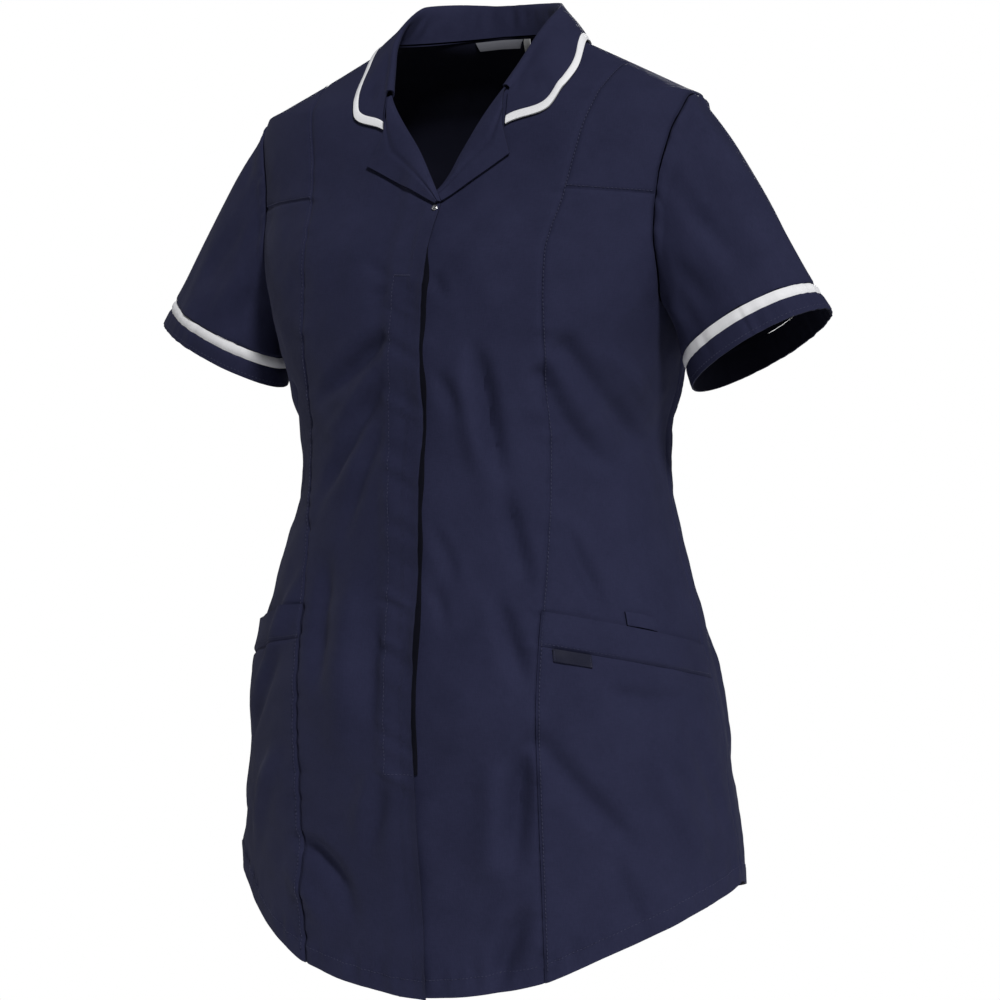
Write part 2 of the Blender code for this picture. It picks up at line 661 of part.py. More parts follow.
def ring_normals(rows):
    """Outward normals of a tube given as rings of points."""
    along = np.gradient(rows, axis=0)
    around = np.roll(rows, -1, axis=1) - np.roll(rows, 1, axis=1)
    normals = unit(np.cross(around, along))
    centre = rows.mean(axis=1, keepdims=True)
    facing = np.sign(np.einsum("ijk,ijk->ij", normals, rows - centre).sum())
    return normals * facing


def tube(name, rows, normals, surface, wall, first=0.0, last=0.0):
    """A closed tube, its first and last rings drawn in by a distance along it."""
    rows = rows.copy()
    start, finish = unit(rows[1] - rows[0]) * first, unit(rows[-2] - rows[-1]) * last
    rows[0] += start
    rows[-1] += finish
    wall_between(name, rows, rows - normals * wall, surface, ring=True)


def build_sleeves(navy, white):
    seam = SEAM_GAP / 2
    for side in ("left", "right"):
        rows = sleeve_rows(side)
        normals = ring_normals(rows)
        end = SLEEVE_STEPS
        tube(f"sleeve_{side}", rows[: end + 1], normals[: end + 1], navy, WALL, ARMHOLE_GAP, seam)
        tube(f"cuff_piping_{side}", rows[end : end + 2], normals[end : end + 2], white, DOUBLE_WALL, seam, seam)
        tube(f"cuff_{side}", rows[end + 1 :], normals[end + 1 :], navy, DOUBLE_WALL, seam)


# ---------------------------------------------------------------- collar and revers


def neck_places(along, side):
    """Angle and height of the neck edge: 0 at the centre back, 1 at the collar's front end."""
    sign = 1 if side == "left" else -1
    on_back = along < NECK_POINT_ALONG
    turn = np.clip(along / NECK_POINT_ALONG, 0, 1)
    back_angle = np.pi - turn * np.pi / 2
    back_height = ROWS[-1][5] * (1 - turn**2)
    front_share = np.clip((along - NECK_POINT_ALONG) / (1 - NECK_POINT_ALONG), 0, 1)
    front_height = GORGE_Z * front_share**1.15
    front_angle = angle_at(abs(neck_x[side](front_height)), front_height)
    angle = sign * np.where(on_back, back_angle, front_angle)
    return angle, np.where(on_back, back_height, front_height)


def height_under(x, y):
    """The height of the body's surface below a place in plan, found by halving."""
    low, high = np.full(np.shape(x), -0.200), np.full(np.shape(x), BODY[-1][0])
    for _ in range(30):
        middle = (low + high) / 2
        line = side_y(middle)
        depth = np.where(y < line, line - front_y(middle), back_y(middle) - line)
        power = roundness(middle)
        outside = (abs(x) / half_width(middle)) ** power + (abs(y - line) / depth) ** power > 1
        low, high = np.where(outside, low, middle), np.where(outside, middle, high)
    return low


def place_under(x, y):
    """Angle and height on the body's surface of a place in plan."""
    height = height_under(x, y)
    line = side_y(height)
    depth = np.where(y < line, line - front_y(height), back_y(height) - line)
    return np.arctan2(x / half_width(height), (line - y) / depth), height


def raised_clear(points, least):
    """Lifts points that come closer to the body's surface than the least distance."""
    angle, height = place_under(points[..., 0], points[..., 1])
    normal = body_normal(angle, height)
    clearance = ((points - body_point(angle, height)) * normal).sum(axis=-1, keepdims=True)
    return points + normal * np.maximum(0.0, least - clearance)


def collar_rows(side, along):
    """The collar's centre line at places along it: neck seam, stand, roll, fall and outer edge."""
    sign = 1 if side == "left" else -1
    first = 2 if side == "left" else 6
    roll_x, roll_z, edge_x, edge_y = (smooth_curve(COLLAR, first + c)(along) for c in range(4))
    roll = np.stack((sign * roll_x, smooth_curve(COLLAR, 1)(along), roll_z), axis=-1)
    neck = neck_places(along, side)
    nudge = 1e-3
    ahead, after = (body_point(*neck_places(np.clip(along + n, 0, 1), side)) for n in (nudge, -nudge))
    inward = unit(np.cross(unit(ahead - after), body_normal(*neck))) * sign
    seam = cloth_point(*neck, -WALL / 2) + inward * COLLAR_SEAM_OFFSET
    rest = COLLAR_GAP + DOUBLE_WALL / 2
    edge = cloth_point(*place_under(sign * edge_x, edge_y), rest)
    rise = roll - seam
    tall = np.linalg.norm(rise, axis=-1, keepdims=True)
    stand = [seam + rise * share + inward * STAND_HOLLOW * np.sin(np.pi * share) for share in STAND_SHARES]
    radius = np.minimum(ROLL_RADIUS, 0.45 * tall)
    crest = [roll - inward * radius * 0.9, roll - inward * radius * 1.9 - unit(rise) * radius * 0.9]
    belly = FALL_BELLY * tall / np.max(tall)
    fall = []
    for share in FALL_SHARES:
        point = crest[-1] + (edge - crest[-1]) * share - inward * belly * np.sin(np.pi * share)
        fall.append(raised_clear(point, rest))
    return np.array(stand + crest + fall)


def whole_collar():
    """Centre-line points of the whole collar: section, then place from the wearer's right to left."""
    along = np.linspace(0, 1, COLLAR_STEPS + 1)
    left, right = collar_rows("left", along), collar_rows("right", along)
    return np.concatenate((right[:, :0:-1], left), axis=1)


def sheet_normals(rows):
    normals = unit(np.cross(np.gradient(rows, axis=1), np.gradient(rows, axis=0)))
    return normals


def build_collar(navy, white):
    rows = whole_collar()
    normals = sheet_normals(rows)
    last = rows[-1] - rows[-2]
    length = np.linalg.norm(last, axis=-1, keepdims=True)
    split = rows[-1] - last * (PIPING_COLLAR / length)
    normal_at_split = unit(normals[-1] + normals[-2])
    half = DOUBLE_WALL / 2
    draw = last / length * COLLAR_SPLIT_GAP
    fall_end = split - draw
    collar = np.concatenate((rows[:-1], fall_end[None]))
    collar_normals = np.concatenate((normals[:-1], normal_at_split[None]))
    wall_between("collar", collar + collar_normals * half, collar - collar_normals * half, navy)
    piping = np.stack((split + draw, rows[-1]))
    piping_normals = np.stack((normal_at_split, normals[-1]))
    wall_between("collar_piping", piping + piping_normals * half, piping - piping_normals * half, white)


def rever_places(side, steps_down=7):
    """Places of a rever: rows from its root on the roll line to its outer edge, columns from gorge to tip."""
    row = next(row for row in REVERS if row[0] == side)
    gorge_x, gorge_z, corner_x, corner_z, tip_x, tip_z, root_end_z = row[1:]
    down = np.linspace(0, 1, steps_down + 1)
    root_z = GORGE_Z - 0.001 + (root_end_z - GORGE_Z) * down
    root_x = neck_x[side](root_z)
    outer_x = np.interp(down, (0, 3 / 7, 1), (gorge_x, corner_x, tip_x))
    outer_z = np.interp(down, (0, 3 / 7, 1), (gorge_z, corner_z, tip_z))
    return root_x, root_z, outer_x, outer_z


def build_revers(navy):
    shares = np.array([0.0, 0.08, 0.3, 0.65, 1.0])
    lift_at = np.array([0.0008, 0.0020, 0.0026, 0.0020, 0.0013])
    for side in ("left", "right"):
        root_x, root_z, outer_x, outer_z = rever_places(side)
        xs = root_x[None] + (outer_x - root_x)[None] * shares[:, None]
        heights = root_z[None] + (outer_z - root_z)[None] * shares[:, None]
        angles = angle_at(xs, heights)
        rise = placket_rise(xs, heights) if side == "right" else 0.0
        out = SEAM_GAP + DOUBLE_WALL + lift_at[:, None] + rise
        panel(f"rever_{side}", angles, heights, navy, out=out, wall=DOUBLE_WALL)


# ---------------------------------------------------------------- small things


def build_neck_labels(grey, white):
    """Labels sewn in at the back neck seam, which hang a little off the back."""
    for name, place, surface in (("neck_label", NECK_LABEL, grey), ("care_label", CARE_LABEL, white)):
        x_from, x_to, top, bottom = place
        heights = np.repeat(np.linspace(bottom, top, 5)[:, None], 4, axis=1)
        xs = np.tile(np.linspace(x_from, x_to, 4), (5, 1))
        angles = angle_at(xs, heights, "back") % (2 * np.pi)
        gap = -TRIM_GAP - LABEL_HANG * (top - heights)
        patch(name, back_grid(), -WALL, angles, heights, surface, gap, 0.0008)


def build_stud(metal):
    """The snap's cap: a low dome."""
    turns = np.linspace(0, 2 * np.pi, 12, endpoint=False)
    circle = np.stack((np.cos(turns), np.sin(turns), 0 * turns), axis=-1)
    profile = ((1.0, 0.0), (1.0, 0.45), (0.7, 0.9))
    vertices = [circle * (r * STUD_RADIUS) + (0, 0, h * STUD_HEIGHT) for r, h in profile]
    vertices = np.concatenate(vertices + [[(0, 0, STUD_HEIGHT)]])
    faces = [tuple(range(11, -1, -1))]
    for ring in range(2):
        for j in range(12):
            k = (j + 1) % 12
            faces.append((ring * 12 + j, ring * 12 + k, (ring + 1) * 12 + k, (ring + 1) * 12 + j))
    for j in range(12):
        faces.append((24 + j, 24 + (j + 1) % 12, 36))
    stud = add_object("snap_stud", vertices, faces, metal)
    x, height = STUD_PLACE
    angles, heights = front_grid("right")
    rise = placket_rise(body_point(angles, heights)[..., 0], heights)
    point, normal = on_facets(angles, heights, rise, angle_at(x, height), height)
    stud.location = point + normal * TRIM_GAP
    stud.rotation_euler = Vector(normal).to_track_quat("Z", "Y").to_euler()


def main():
    for thing in list(bpy.data.objects):
        bpy.data.objects.remove(thing, do_unlink=True)
    bpy.context.scene.collection.objects.link(bpy.data.objects.new("tunic", None))
    navy = material("navy twill", (0.018, 0.020, 0.044), 0.75)
    white = material("white piping", (0.80, 0.80, 0.82), 0.70)
    grey = material("woven label", (0.28, 0.29, 0.33), 0.60)
    dark = material("dark woven label", (0.012, 0.013, 0.025), 0.60)
    metal = material("snap metal", (0.62, 0.62, 0.64), 0.30, 1.0)
    build_fronts(navy)
    build_placket(navy)
    build_side_fronts(navy)
    build_back(navy)
    build_pockets(navy)
    build_pocket_trims(navy, dark)
    build_sleeves(navy, white)
    build_collar(navy, white)
    build_revers(navy)
    build_neck_labels(grey, white)
    build_stud(metal)


main()
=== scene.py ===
"""Maternity tunic: the visual model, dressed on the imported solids.

Metres, +Z up, front -Y, the wearer's left +X. A place on the body is an angle round it, from the centre front and
positive to the wearer's left, and a height; `out` is a distance out from the cloth's outer face. The tables that
shape the pattern repeat the solids' own, and every piece lies on its solid's form with its creases and seams added.
"""

import bpy
import numpy as np
from mathutils import Matrix, Vector


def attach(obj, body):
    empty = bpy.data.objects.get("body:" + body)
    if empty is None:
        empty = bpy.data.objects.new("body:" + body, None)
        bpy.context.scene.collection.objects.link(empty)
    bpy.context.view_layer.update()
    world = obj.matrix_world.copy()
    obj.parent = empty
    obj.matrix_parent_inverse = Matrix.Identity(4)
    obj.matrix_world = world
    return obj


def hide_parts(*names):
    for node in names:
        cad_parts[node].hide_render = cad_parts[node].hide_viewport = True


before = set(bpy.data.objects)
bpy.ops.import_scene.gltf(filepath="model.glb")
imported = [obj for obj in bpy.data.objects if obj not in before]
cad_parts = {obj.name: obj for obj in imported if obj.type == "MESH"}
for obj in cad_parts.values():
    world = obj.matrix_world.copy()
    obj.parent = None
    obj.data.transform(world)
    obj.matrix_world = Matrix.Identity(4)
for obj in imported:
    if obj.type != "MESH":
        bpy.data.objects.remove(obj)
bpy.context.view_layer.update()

SIGNS = {"left": 1, "right": -1}  # +X is the wearer's left

# Driving dimensions
WALL = 0.0012  # one layer of twill
DOUBLE_WALL = 0.0016  # two layers, pressed: collar, revers, bands
SEAM_GAP = 0.0003  # between pieces that lie on each other
TRIM_GAP = 0.0006  # under small stiff trims, which don't bend with the cloth
LAP = 0.0145  # each front runs this far past the centre
PRINCESS_X = 0.108  # princess seams from the centre, chest to hem
BREAK_Z = -0.149  # where the front edge turns back into the revers
PLACKET_STITCH_X = -0.0145  # the line that holds the placket, on the wearer's right
PLACKET_RISE_WIDTH = 0.0135  # the front climbs over the placket's turnings across this width
PLACKET_FOOT_ROW = "placket foot"
BACK_COLUMN_X = 0.078  # a column of places on each half of the back, this far from its centre
SIDE_FRONT_WIDTH = 0.190
PLACKET_TOP_Z = -0.1777
PLACKET_INSET = 0.002  # from the free edge of the lap to the placket's own edge
STITCH_INSET = 0.0022  # from a seam to the stitching beside it
PIPING_COLLAR = 0.0075
PIPING_SLEEVE = 0.009
CUFF_BAND = 0.0165
POCKET_GAPE = 0.0020  # how far the middle of a pocket's edge stands off
LOOP_WIDTH = 0.029
LOOP_HEIGHT = 0.0110
LABEL_WIDTH = 0.0265
LABEL_HEIGHT = 0.0100
LABEL_WALL = 0.0010  # the pocket label is folded double
POCKET_LABEL_OUT = SEAM_GAP + WALL + TRIM_GAP + LABEL_WALL
SHOULDER_DROP = 0.010  # the wearer's right shoulder hangs this much lower
STUD_RADIUS = 0.0024
STUD_HEIGHT = 0.0010
CLOTH_STEP = 0.0040  # between the rows and columns of the cloth meshes
EDGE_STEPS = (0.0, 0.0005, 0.0012, 0.0022, 0.0038)  # closer ones along seams and edges
SEAM_DIP = 0.0013  # how far the cloth sinks into a seam, and over what width
SEAM_DIP_WIDTH = 0.0019
HEM_TURN = 0.015  # the hem is turned up twice to this height
HEM_STEP = 0.0007

# The body of the tunic at each height: half width at the side line, how far the side line lies back, the centre
# front and centre back, and the roundness of the section (2 is an ellipse, more is squarer).
BODY = (
    # height, half_width, side_y, front_y, back_y, roundness
    (-0.800, 0.231, 0.040, -0.117, 0.156, 2.05),
    (-0.690, 0.2215, 0.035, -0.130, 0.151, 2.05),
    (-0.600, 0.212, 0.029, -0.141, 0.143, 2.05),
    (-0.550, 0.205, 0.023, -0.145, 0.135, 2.05),
    (-0.500, 0.195, 0.016, -0.140, 0.125, 2.05),
    (-0.440, 0.178, 0.023, -0.134, 0.112, 2.05),
    (-0.380, 0.1615, 0.033, -0.134, 0.104, 2.10),
    (-0.340, 0.1575, 0.037, -0.134, 0.102, 2.20),
    (-0.300, 0.1655, 0.037, -0.133, 0.104, 2.30),
    (-0.265, 0.1735, 0.029, -0.132, 0.107, 2.40),
    (-0.235, 0.1785, 0.018, -0.130, 0.112, 2.50),
    (-0.190, 0.188, 0.013, -0.122, 0.118, 2.50),
    (-0.149, 0.195, 0.011, -0.099, 0.118, 2.50),
    (-0.108, 0.199, 0.009, -0.0825, 0.111, 2.50),
    (-0.080, 0.200, 0.007, -0.074, 0.104, 2.50),
    (-0.056, 0.195, 0.005, -0.061, 0.095, 2.50),
    (-0.050, 0.1825, 0.0045, -0.055, 0.091, 2.50),
    (-0.028, 0.1365, 0.003, -0.0325, 0.078, 2.40),
    (0.000, 0.078, 0.000, -0.015, 0.055, 2.00),
    (0.004, 0.070, 0.000, -0.012, 0.0553, 2.00),
)

# Heights of the named cross rows on each line that runs up the body.
ROWS = (
    # name, front_edge, princess, side, back_column, centre_back
    ("hem", -0.790, -0.772, -0.702, -0.737, -0.756),
    ("placket foot", -0.607, -0.612, -0.605, -0.612, -0.615),
    ("band seam", -0.497, -0.502, -0.535, -0.525, -0.522),
    ("pocket edge", -0.470, -0.475, -0.509, -0.495, -0.492),
    ("underarm", -0.235, -0.235, -0.235, -0.235, -0.235),
    ("chest seam", BREAK_Z, -0.137, -0.141, -0.141, -0.141),
    ("shoulder", 0.000, -0.0285, -0.056, 0.000, 0.0035),
)
# The shaped hem of each side front, across from the princess seam to the side seam.
HEM = (
    # share_of_width, left_height, right_height
    (0.00, -0.772, -0.772),
    (0.22, -0.751, -0.748),
    (0.60, -0.722, -0.703),
    (1.00, -0.702, -0.688),
)
SHOULDER_EASE = 1.6  # rows close up towards the crest of the shoulder

# Where each line that isn't straight lies, as its distance from the centre at each height.
PRINCESS = (
    # height, x
    (-0.235, PRINCESS_X),
    (-0.190, 0.108),
    (-0.137, 0.115),
    (-0.090, 0.122),
    (-0.060, 0.130),
    (-0.0285, 0.1375),
)
NECK = (
    # height, right_x, left_x
    (BREAK_Z, 0.0145, -0.0145),
    (-0.137, 0.0072, 0.0100),
    (-0.100, -0.0165, 0.0290),
    (-0.052, -0.0525, 0.0535),
    (-0.028, -0.0655, 0.0655),
    (-0.010, -0.0735, 0.0735),
    (0.000, -0.078, 0.078),
)
ARMHOLE = (
    # height, front_x, back_x
    (-0.235, 0.1785, 0.1785),
    (-0.226, 0.1770, 0.1760),
    (-0.2025, 0.1785, 0.1725),
    (-0.158, 0.1795, 0.1700),
    (-0.122, 0.1810, 0.1740),
    (-0.090, 0.1870, 0.1820),
    (-0.068, 0.1935, 0.1910),
    (-0.056, 0.1950, 0.1950),
)

# The folds of the cloth: soft troughs (depth below 0) and ridges, each a curve through three places on the body.
# A rooted one starts at a seam at its full depth; the others rise and fall away at both ends.
CREASES = (
    # angle_1, height_1, angle_2, height_2, angle_3, height_3, half_width, depth, rooted
    # wearer's right front: the pull from the top of the placket, and what lies below it
    (-5.5, -0.246, -16.0, -0.277, -38.0, -0.318, 0.0085, -0.0088, 0),
    (-5.0, -0.264, -17.0, -0.306, -38.0, -0.350, 0.0070, 0.0034, 0),
    (-6.5, -0.284, -20.0, -0.339, -39.0, -0.410, 0.0085, -0.0070, 0),
    (-7.0, -0.323, -16.0, -0.372, -24.0, -0.437, 0.0080, -0.0046, 0),
    (-14.4, -0.194, -9.4, -0.202, -4.7, -0.208, 0.0045, -0.0023, 0),
    (-12.8, -0.226, -8.5, -0.220, -4.3, -0.214, 0.0045, -0.0027, 0),
    (-17.0, -0.430, -16.0, -0.518, -15.0, -0.605, 0.0150, 0.0070, 0),
    (-27.0, -0.425, -26.0, -0.490, -22.0, -0.560, 0.0100, -0.0063, 0),
    (-6.0, -0.590, -10.0, -0.630, -14.0, -0.670, 0.0080, 0.0034, 0),
    (-4.0, -0.604, -7.0, -0.646, -11.0, -0.690, 0.0070, -0.0038, 0),
    (-36.0, -0.690, -27.0, -0.714, -20.0, -0.752, 0.0100, 0.0046, 0),
    (-36.0, -0.668, -20.0, -0.690, -13.0, -0.750, 0.0090, -0.0073, 0),
    (-5.0, -0.455, -8.0, -0.530, -5.0, -0.590, 0.0080, -0.0027, 0),
    # wearer's left front
    (17.0, -0.250, 24.0, -0.318, 31.0, -0.392, 0.0085, -0.0088, 0),
    (13.0, -0.262, 19.0, -0.330, 25.0, -0.395, 0.0090, 0.0042, 0),
    (28.0, -0.372, 30.5, -0.419, 31.5, -0.465, 0.0080, -0.0073, 0),
    (7.6, -0.281, 12.3, -0.303, 17.0, -0.330, 0.0060, -0.0034, 0),
    (7.0, -0.400, 11.3, -0.435, 14.0, -0.462, 0.0060, -0.0034, 0),
    (5.1, -0.203, 7.7, -0.215, 11.0, -0.229, 0.0050, -0.0027, 0),
    (23.0, -0.455, 26.6, -0.501, 30.5, -0.545, 0.0080, -0.0070, 0),
    (7.4, -0.453, 9.3, -0.472, 11.0, -0.495, 0.0050, -0.0027, 0),
    (28.0, -0.570, 25.5, -0.629, 22.0, -0.702, 0.0085, -0.0109, 0),
    (21.0, -0.575, 19.0, -0.640, 16.0, -0.705, 0.0100, 0.0046, 0),
    (26.0, -0.702, 20.7, -0.746, 16.5, -0.790, 0.0080, -0.0088, 0),
    # wearer's left side front and pocket
    (42.0, -0.266, 60.0, -0.314, 87.0, -0.364, 0.0100, -0.0073, 1),
    (50.0, -0.262, 66.0, -0.292, 84.0, -0.330, 0.0080, 0.0034, 0),
    (37.0, -0.288, 50.0, -0.336, 69.0, -0.376, 0.0090, -0.0066, 1),
    (43.0, -0.396, 48.0, -0.443, 53.0, -0.486, 0.0085, -0.0056, 0),
    (47.5, -0.532, 58.0, -0.545, 78.0, -0.546, 0.0070, -0.0030, 0),
    (31.0, -0.578, 43.0, -0.632, 54.0, -0.675, 0.0100, -0.0056, 1),
    (58.0, -0.580, 66.0, -0.640, 75.0, -0.706, 0.0140, 0.0073, 0),
    (70.0, -0.560, 78.0, -0.610, 84.0, -0.680, 0.0110, -0.0053, 0),
    (45.0, -0.660, 48.0, -0.700, 50.0, -0.735, 0.0080, -0.0034, 0),
    # wearer's right side front and pocket
    (-37.0, -0.430, -47.0, -0.530, -66.0, -0.596, 0.0110, 0.0070, 0),
    (-36.0, -0.585, -46.0, -0.640, -52.0, -0.700, 0.0100, 0.0056, 0),
    (-40.0, -0.492, -50.0, -0.556, -66.0, -0.612, 0.0090, -0.0063, 0),
    (-52.0, -0.300, -66.0, -0.338, -84.0, -0.372, 0.0090, -0.0063, 1),
    (-46.0, -0.340, -58.0, -0.390, -72.0, -0.430, 0.0090, -0.0049, 0),
    (-60.0, -0.630, -68.0, -0.665, -78.0, -0.690, 0.0100, -0.0046, 0),
    # back: the cloth hangs from the shoulder blades and gathers at the waist
    (98.0, -0.296, 112.0, -0.350, 130.0, -0.425, 0.0110, -0.0091, 1),
    (104.0, -0.272, 122.0, -0.312, 142.0, -0.352, 0.0090, -0.0059, 0),
    (118.0, -0.415, 128.0, -0.530, 139.0, -0.650, 0.0130, -0.0105, 0),
    (108.0, -0.470, 113.0, -0.560, 118.0, -0.660, 0.0120, 0.0063, 0),
    (148.0, -0.350, 153.0, -0.460, 161.0, -0.570, 0.0130, 0.0088, 0),
    (158.0, -0.330, 161.0, -0.400, 167.0, -0.470, 0.0090, -0.0063, 0),
    (171.0, -0.320, 174.0, -0.420, 179.0, -0.510, 0.0110, -0.0084, 0),
    (142.0, -0.590, 147.0, -0.660, 150.0, -0.730, 0.0110, -0.0077, 0),
    (166.0, -0.600, 168.0, -0.670, 170.0, -0.745, 0.0120, 0.0063, 0),
    (-98.0, -0.296, -110.0, -0.350, -126.0, -0.415, 0.0110, -0.0091, 1),
    (-103.0, -0.268, -118.0, -0.305, -136.0, -0.340, 0.0090, -0.0056, 0),
    (-120.0, -0.395, -132.0, -0.510, -141.0, -0.630, 0.0130, -0.0105, 0),
    (-110.0, -0.500, -115.0, -0.590, -121.0, -0.680, 0.0120, 0.0063, 0),
    (-151.0, -0.330, -156.0, -0.440, -164.0, -0.550, 0.0130, 0.0088, 0),
    (-163.0, -0.350, -167.0, -0.430, -172.0, -0.500, 0.0090, -0.0063, 0),
    (-169.0, -0.550, -173.0, -0.640, -175.0, -0.730, 0.0130, -0.0084, 0),
    (-146.0, -0.600, -150.0, -0.670, -153.0, -0.740, 0.0110, -0.0070, 0),
    (150.0, -0.180, 162.0, -0.215, 172.0, -0.270, 0.0110, -0.0046, 0),
    (-148.0, -0.180, -160.0, -0.220, -170.0, -0.280, 0.0110, -0.0046, 0),
    (112.0, -0.165, 120.0, -0.215, 132.0, -0.262, 0.0100, -0.0046, 0),
    (-112.0, -0.165, -121.0, -0.218, -134.0, -0.260, 0.0100, -0.0046, 0),
)
ROUND_PER_RADIAN = 0.165  # metres of cloth round the body for a radian, for the folds' widths
# Overall unevenness of the cloth: how far, how wide from crest to crest, seed.
UNEVEN = (
    # height, wavelength, seed
    (0.00085, 0.100, 11),
    (0.00030, 0.036, 12),
    (0.00009, 0.0135, 13),
)
# Creases of the sleeves: places are a turn round the ring (0 shoulder, 90 front, 180 underarm) and a share down it.
SLEEVE_CREASES = (
    # side, turn_1, share_1, turn_2, share_2, turn_3, share_3, half_width, depth
    ("left", 12, 0.20, 24, 0.12, 44, 0.20, 0.0075, -0.0034),
    ("left", 70, 0.20, 62, 0.55, 52, 0.98, 0.0100, -0.0030),
    ("left", 40, 0.35, 36, 0.65, 28, 0.95, 0.0100, 0.0020),
    ("left", 108, 0.25, 100, 0.60, 92, 0.98, 0.0100, -0.0030),
    ("left", 140, 0.20, 132, 0.60, 124, 0.95, 0.0090, 0.0022),
    ("left", 300, 0.20, 308, 0.60, 316, 0.98, 0.0110, -0.0036),
    ("left", 250, 0.20, 256, 0.60, 268, 0.95, 0.0100, -0.0028),
    ("right", 14, 0.18, 28, 0.14, 46, 0.22, 0.0075, -0.0028),
    ("right", 66, 0.18, 64, 0.55, 58, 0.98, 0.0100, -0.0028),
    ("right", 96, 0.25, 92, 0.60, 84, 0.98, 0.0090, 0.0022),
    ("right", 122, 0.20, 116, 0.60, 108, 0.95, 0.0100, -0.0030),
    ("right", 304, 0.20, 310, 0.60, 318, 0.98, 0.0110, -0.0034),
    ("right", 254, 0.20, 258, 0.60, 266, 0.95, 0.0100, -0.0028),
)
# How far the right front's edge wanders from its straight line.
EDGE_WANDER = (
    # height, shift
    (-0.800, -0.0030),
    (-0.700, -0.0026),
    (-0.645, -0.0022),
    (-0.575, -0.0042),
    (-0.500, -0.0026),
    (-0.420, -0.0018),
    (-0.360, -0.0008),
    (-0.318, 0.0022),
    (-0.260, -0.0012),
    (-0.200, -0.0008),
    (-0.149, 0.0000),
)

# Sleeve rings: the end of the sleeve proper, where the piping starts, and the cuff's edge.
SLEEVES = (
    # side, ring, centre_x, centre_y, centre_z, half_width, half_depth, lean_deg, tip_deg
    ("left", "band", 0.2435, 0.0003, -0.2451, 0.0625, 0.0460, 29.9, 8.6),
    ("left", "edge", 0.2550, -0.0030, -0.2670, 0.0660, 0.0420, 29.9, 8.6),
    ("right", "band", 0.2335, -0.0010, -0.2443, 0.0590, 0.0460, 27.0, -4.0),
    ("right", "edge", 0.2425, 0.0000, -0.2670, 0.0640, 0.0420, 27.0, -4.0),
)
SLEEVE_PUFF = 0.020
SLEEVE_RUN = 0.130  # from the armhole to the piping

# The collar from the centre back round to its front end: the top of its roll, and where its outer edge lies on
# the shoulders in plan, on the wearer's left and right.
COLLAR = (
    # along, roll_y, left_roll_x, left_roll_z, left_x, left_y, right_roll_x, right_roll_z, right_x, right_y
    (-0.17, 0.0545, -0.0330, 0.0325, -0.0450, 0.0745, -0.0330, 0.0350, -0.0440, 0.0745),
    (0.00, 0.0610, 0.0000, 0.0335, 0.0000, 0.0845, 0.0000, 0.0335, 0.0000, 0.0845),
    (0.17, 0.0545, 0.0330, 0.0325, 0.0450, 0.0745, 0.0330, 0.0350, 0.0440, 0.0745),
    (0.34, 0.0290, 0.0630, 0.0275, 0.0830, 0.0460, 0.0600, 0.0310, 0.0800, 0.0460),
    (0.50, -0.0020, 0.0740, 0.0175, 0.0985, 0.0040, 0.0650, 0.0130, 0.0930, 0.0050),
    (0.66, -0.0230, 0.0685, -0.0005, 0.1060, -0.0325, 0.0640, -0.0045, 0.0915, -0.0310),
    (0.83, -0.0410, 0.0590, -0.0270, 0.0960, -0.0635, 0.0590, -0.0280, 0.0815, -0.0650),
    (1.00, -0.0590, 0.0530, -0.0490, 0.0605, -0.0735, 0.0530, -0.0490, 0.0505, -0.0735),
)
COLLAR_SEAM_OFFSET = 0.0011  # the stand starts just inside the neck edge, clear of its wall
STAND_SHARES = (0.0, 0.45, 0.85)
STAND_HOLLOW = 0.002
ROLL_RADIUS = 0.0017
FALL_SHARES = (0.22, 0.44, 0.63, 1.0)  # the last step is longer than the piping is wide
FALL_BELLY = 0.004
COLLAR_GAP = 0.0012  # under the fall, which spans the rounded crest of the shoulder in short straight steps
NECK_POINT_ALONG = 0.44  # where the shoulder seam meets the collar
GORGE_Z = -0.052  # the collar's front end on the roll line

# Revers: corners of the turned-back flap as places on the front, from the gorge round to the tip.
REVERS = (
    # side, gorge_x, gorge_z, corner_x, corner_z, tip_x, tip_z, root_end_z
    ("left", 0.0580, -0.0840, 0.0670, -0.1080, 0.0150, -0.1465, -0.1370),
    ("right", -0.0475, -0.0840, -0.0600, -0.1130, 0.0110, -0.1500, -0.1470),
)

# Small trims as patches on the body: the angles that they start and end at, in degrees.
LOOP_ANGLES = (57.5, 67.5)
POCKET_LABEL_ANGLES = (36.5, 46.0)
NECK_LABEL = (-0.025, 0.020, 0.0015, -0.0045)  # x from, x to, top, bottom
CARE_LABEL = (0.0212, 0.0277, 0.0015, -0.0085)
LABEL_HANG = 0.15  # how fast the neck labels leave the back on their way down
STUD_PLACE = (0.0110, -0.1530)  # x and height


def smooth_curve(table, column, key=0):
    """A cubic through one column of a table, with no overshoot between its rows."""
    rows = sorted(table, key=lambda row: row[key])
    xs = np.array([row[key] for row in rows], float)
    ys = np.array([row[column] for row in rows], float)
    steps = np.diff(xs)
    rates = np.diff(ys) / steps
    slopes = np.concatenate((rates[:1], np.zeros(len(xs) - 2), rates[-1:]))
    product = rates[1:] * rates[:-1]
    total = np.where(product > 0, rates[1:] + rates[:-1], 1.0)
    slopes[1:-1] = np.where(product > 0, 2 * product / total, 0.0)

    def value(x):
        x = np.clip(x, xs[0], xs[-1])
        i = np.clip(np.searchsorted(xs, x, side="right") - 1, 0, len(xs) - 2)
        t = (x - xs[i]) / steps[i]
        rise = t * t * (3 - 2 * t)
        lead = t * (1 - t) ** 2 * steps[i] * slopes[i]
        tail = t * t * (t - 1) * steps[i] * slopes[i + 1]
        return ys[i] + (ys[i + 1] - ys[i]) * rise + lead + tail

    return value


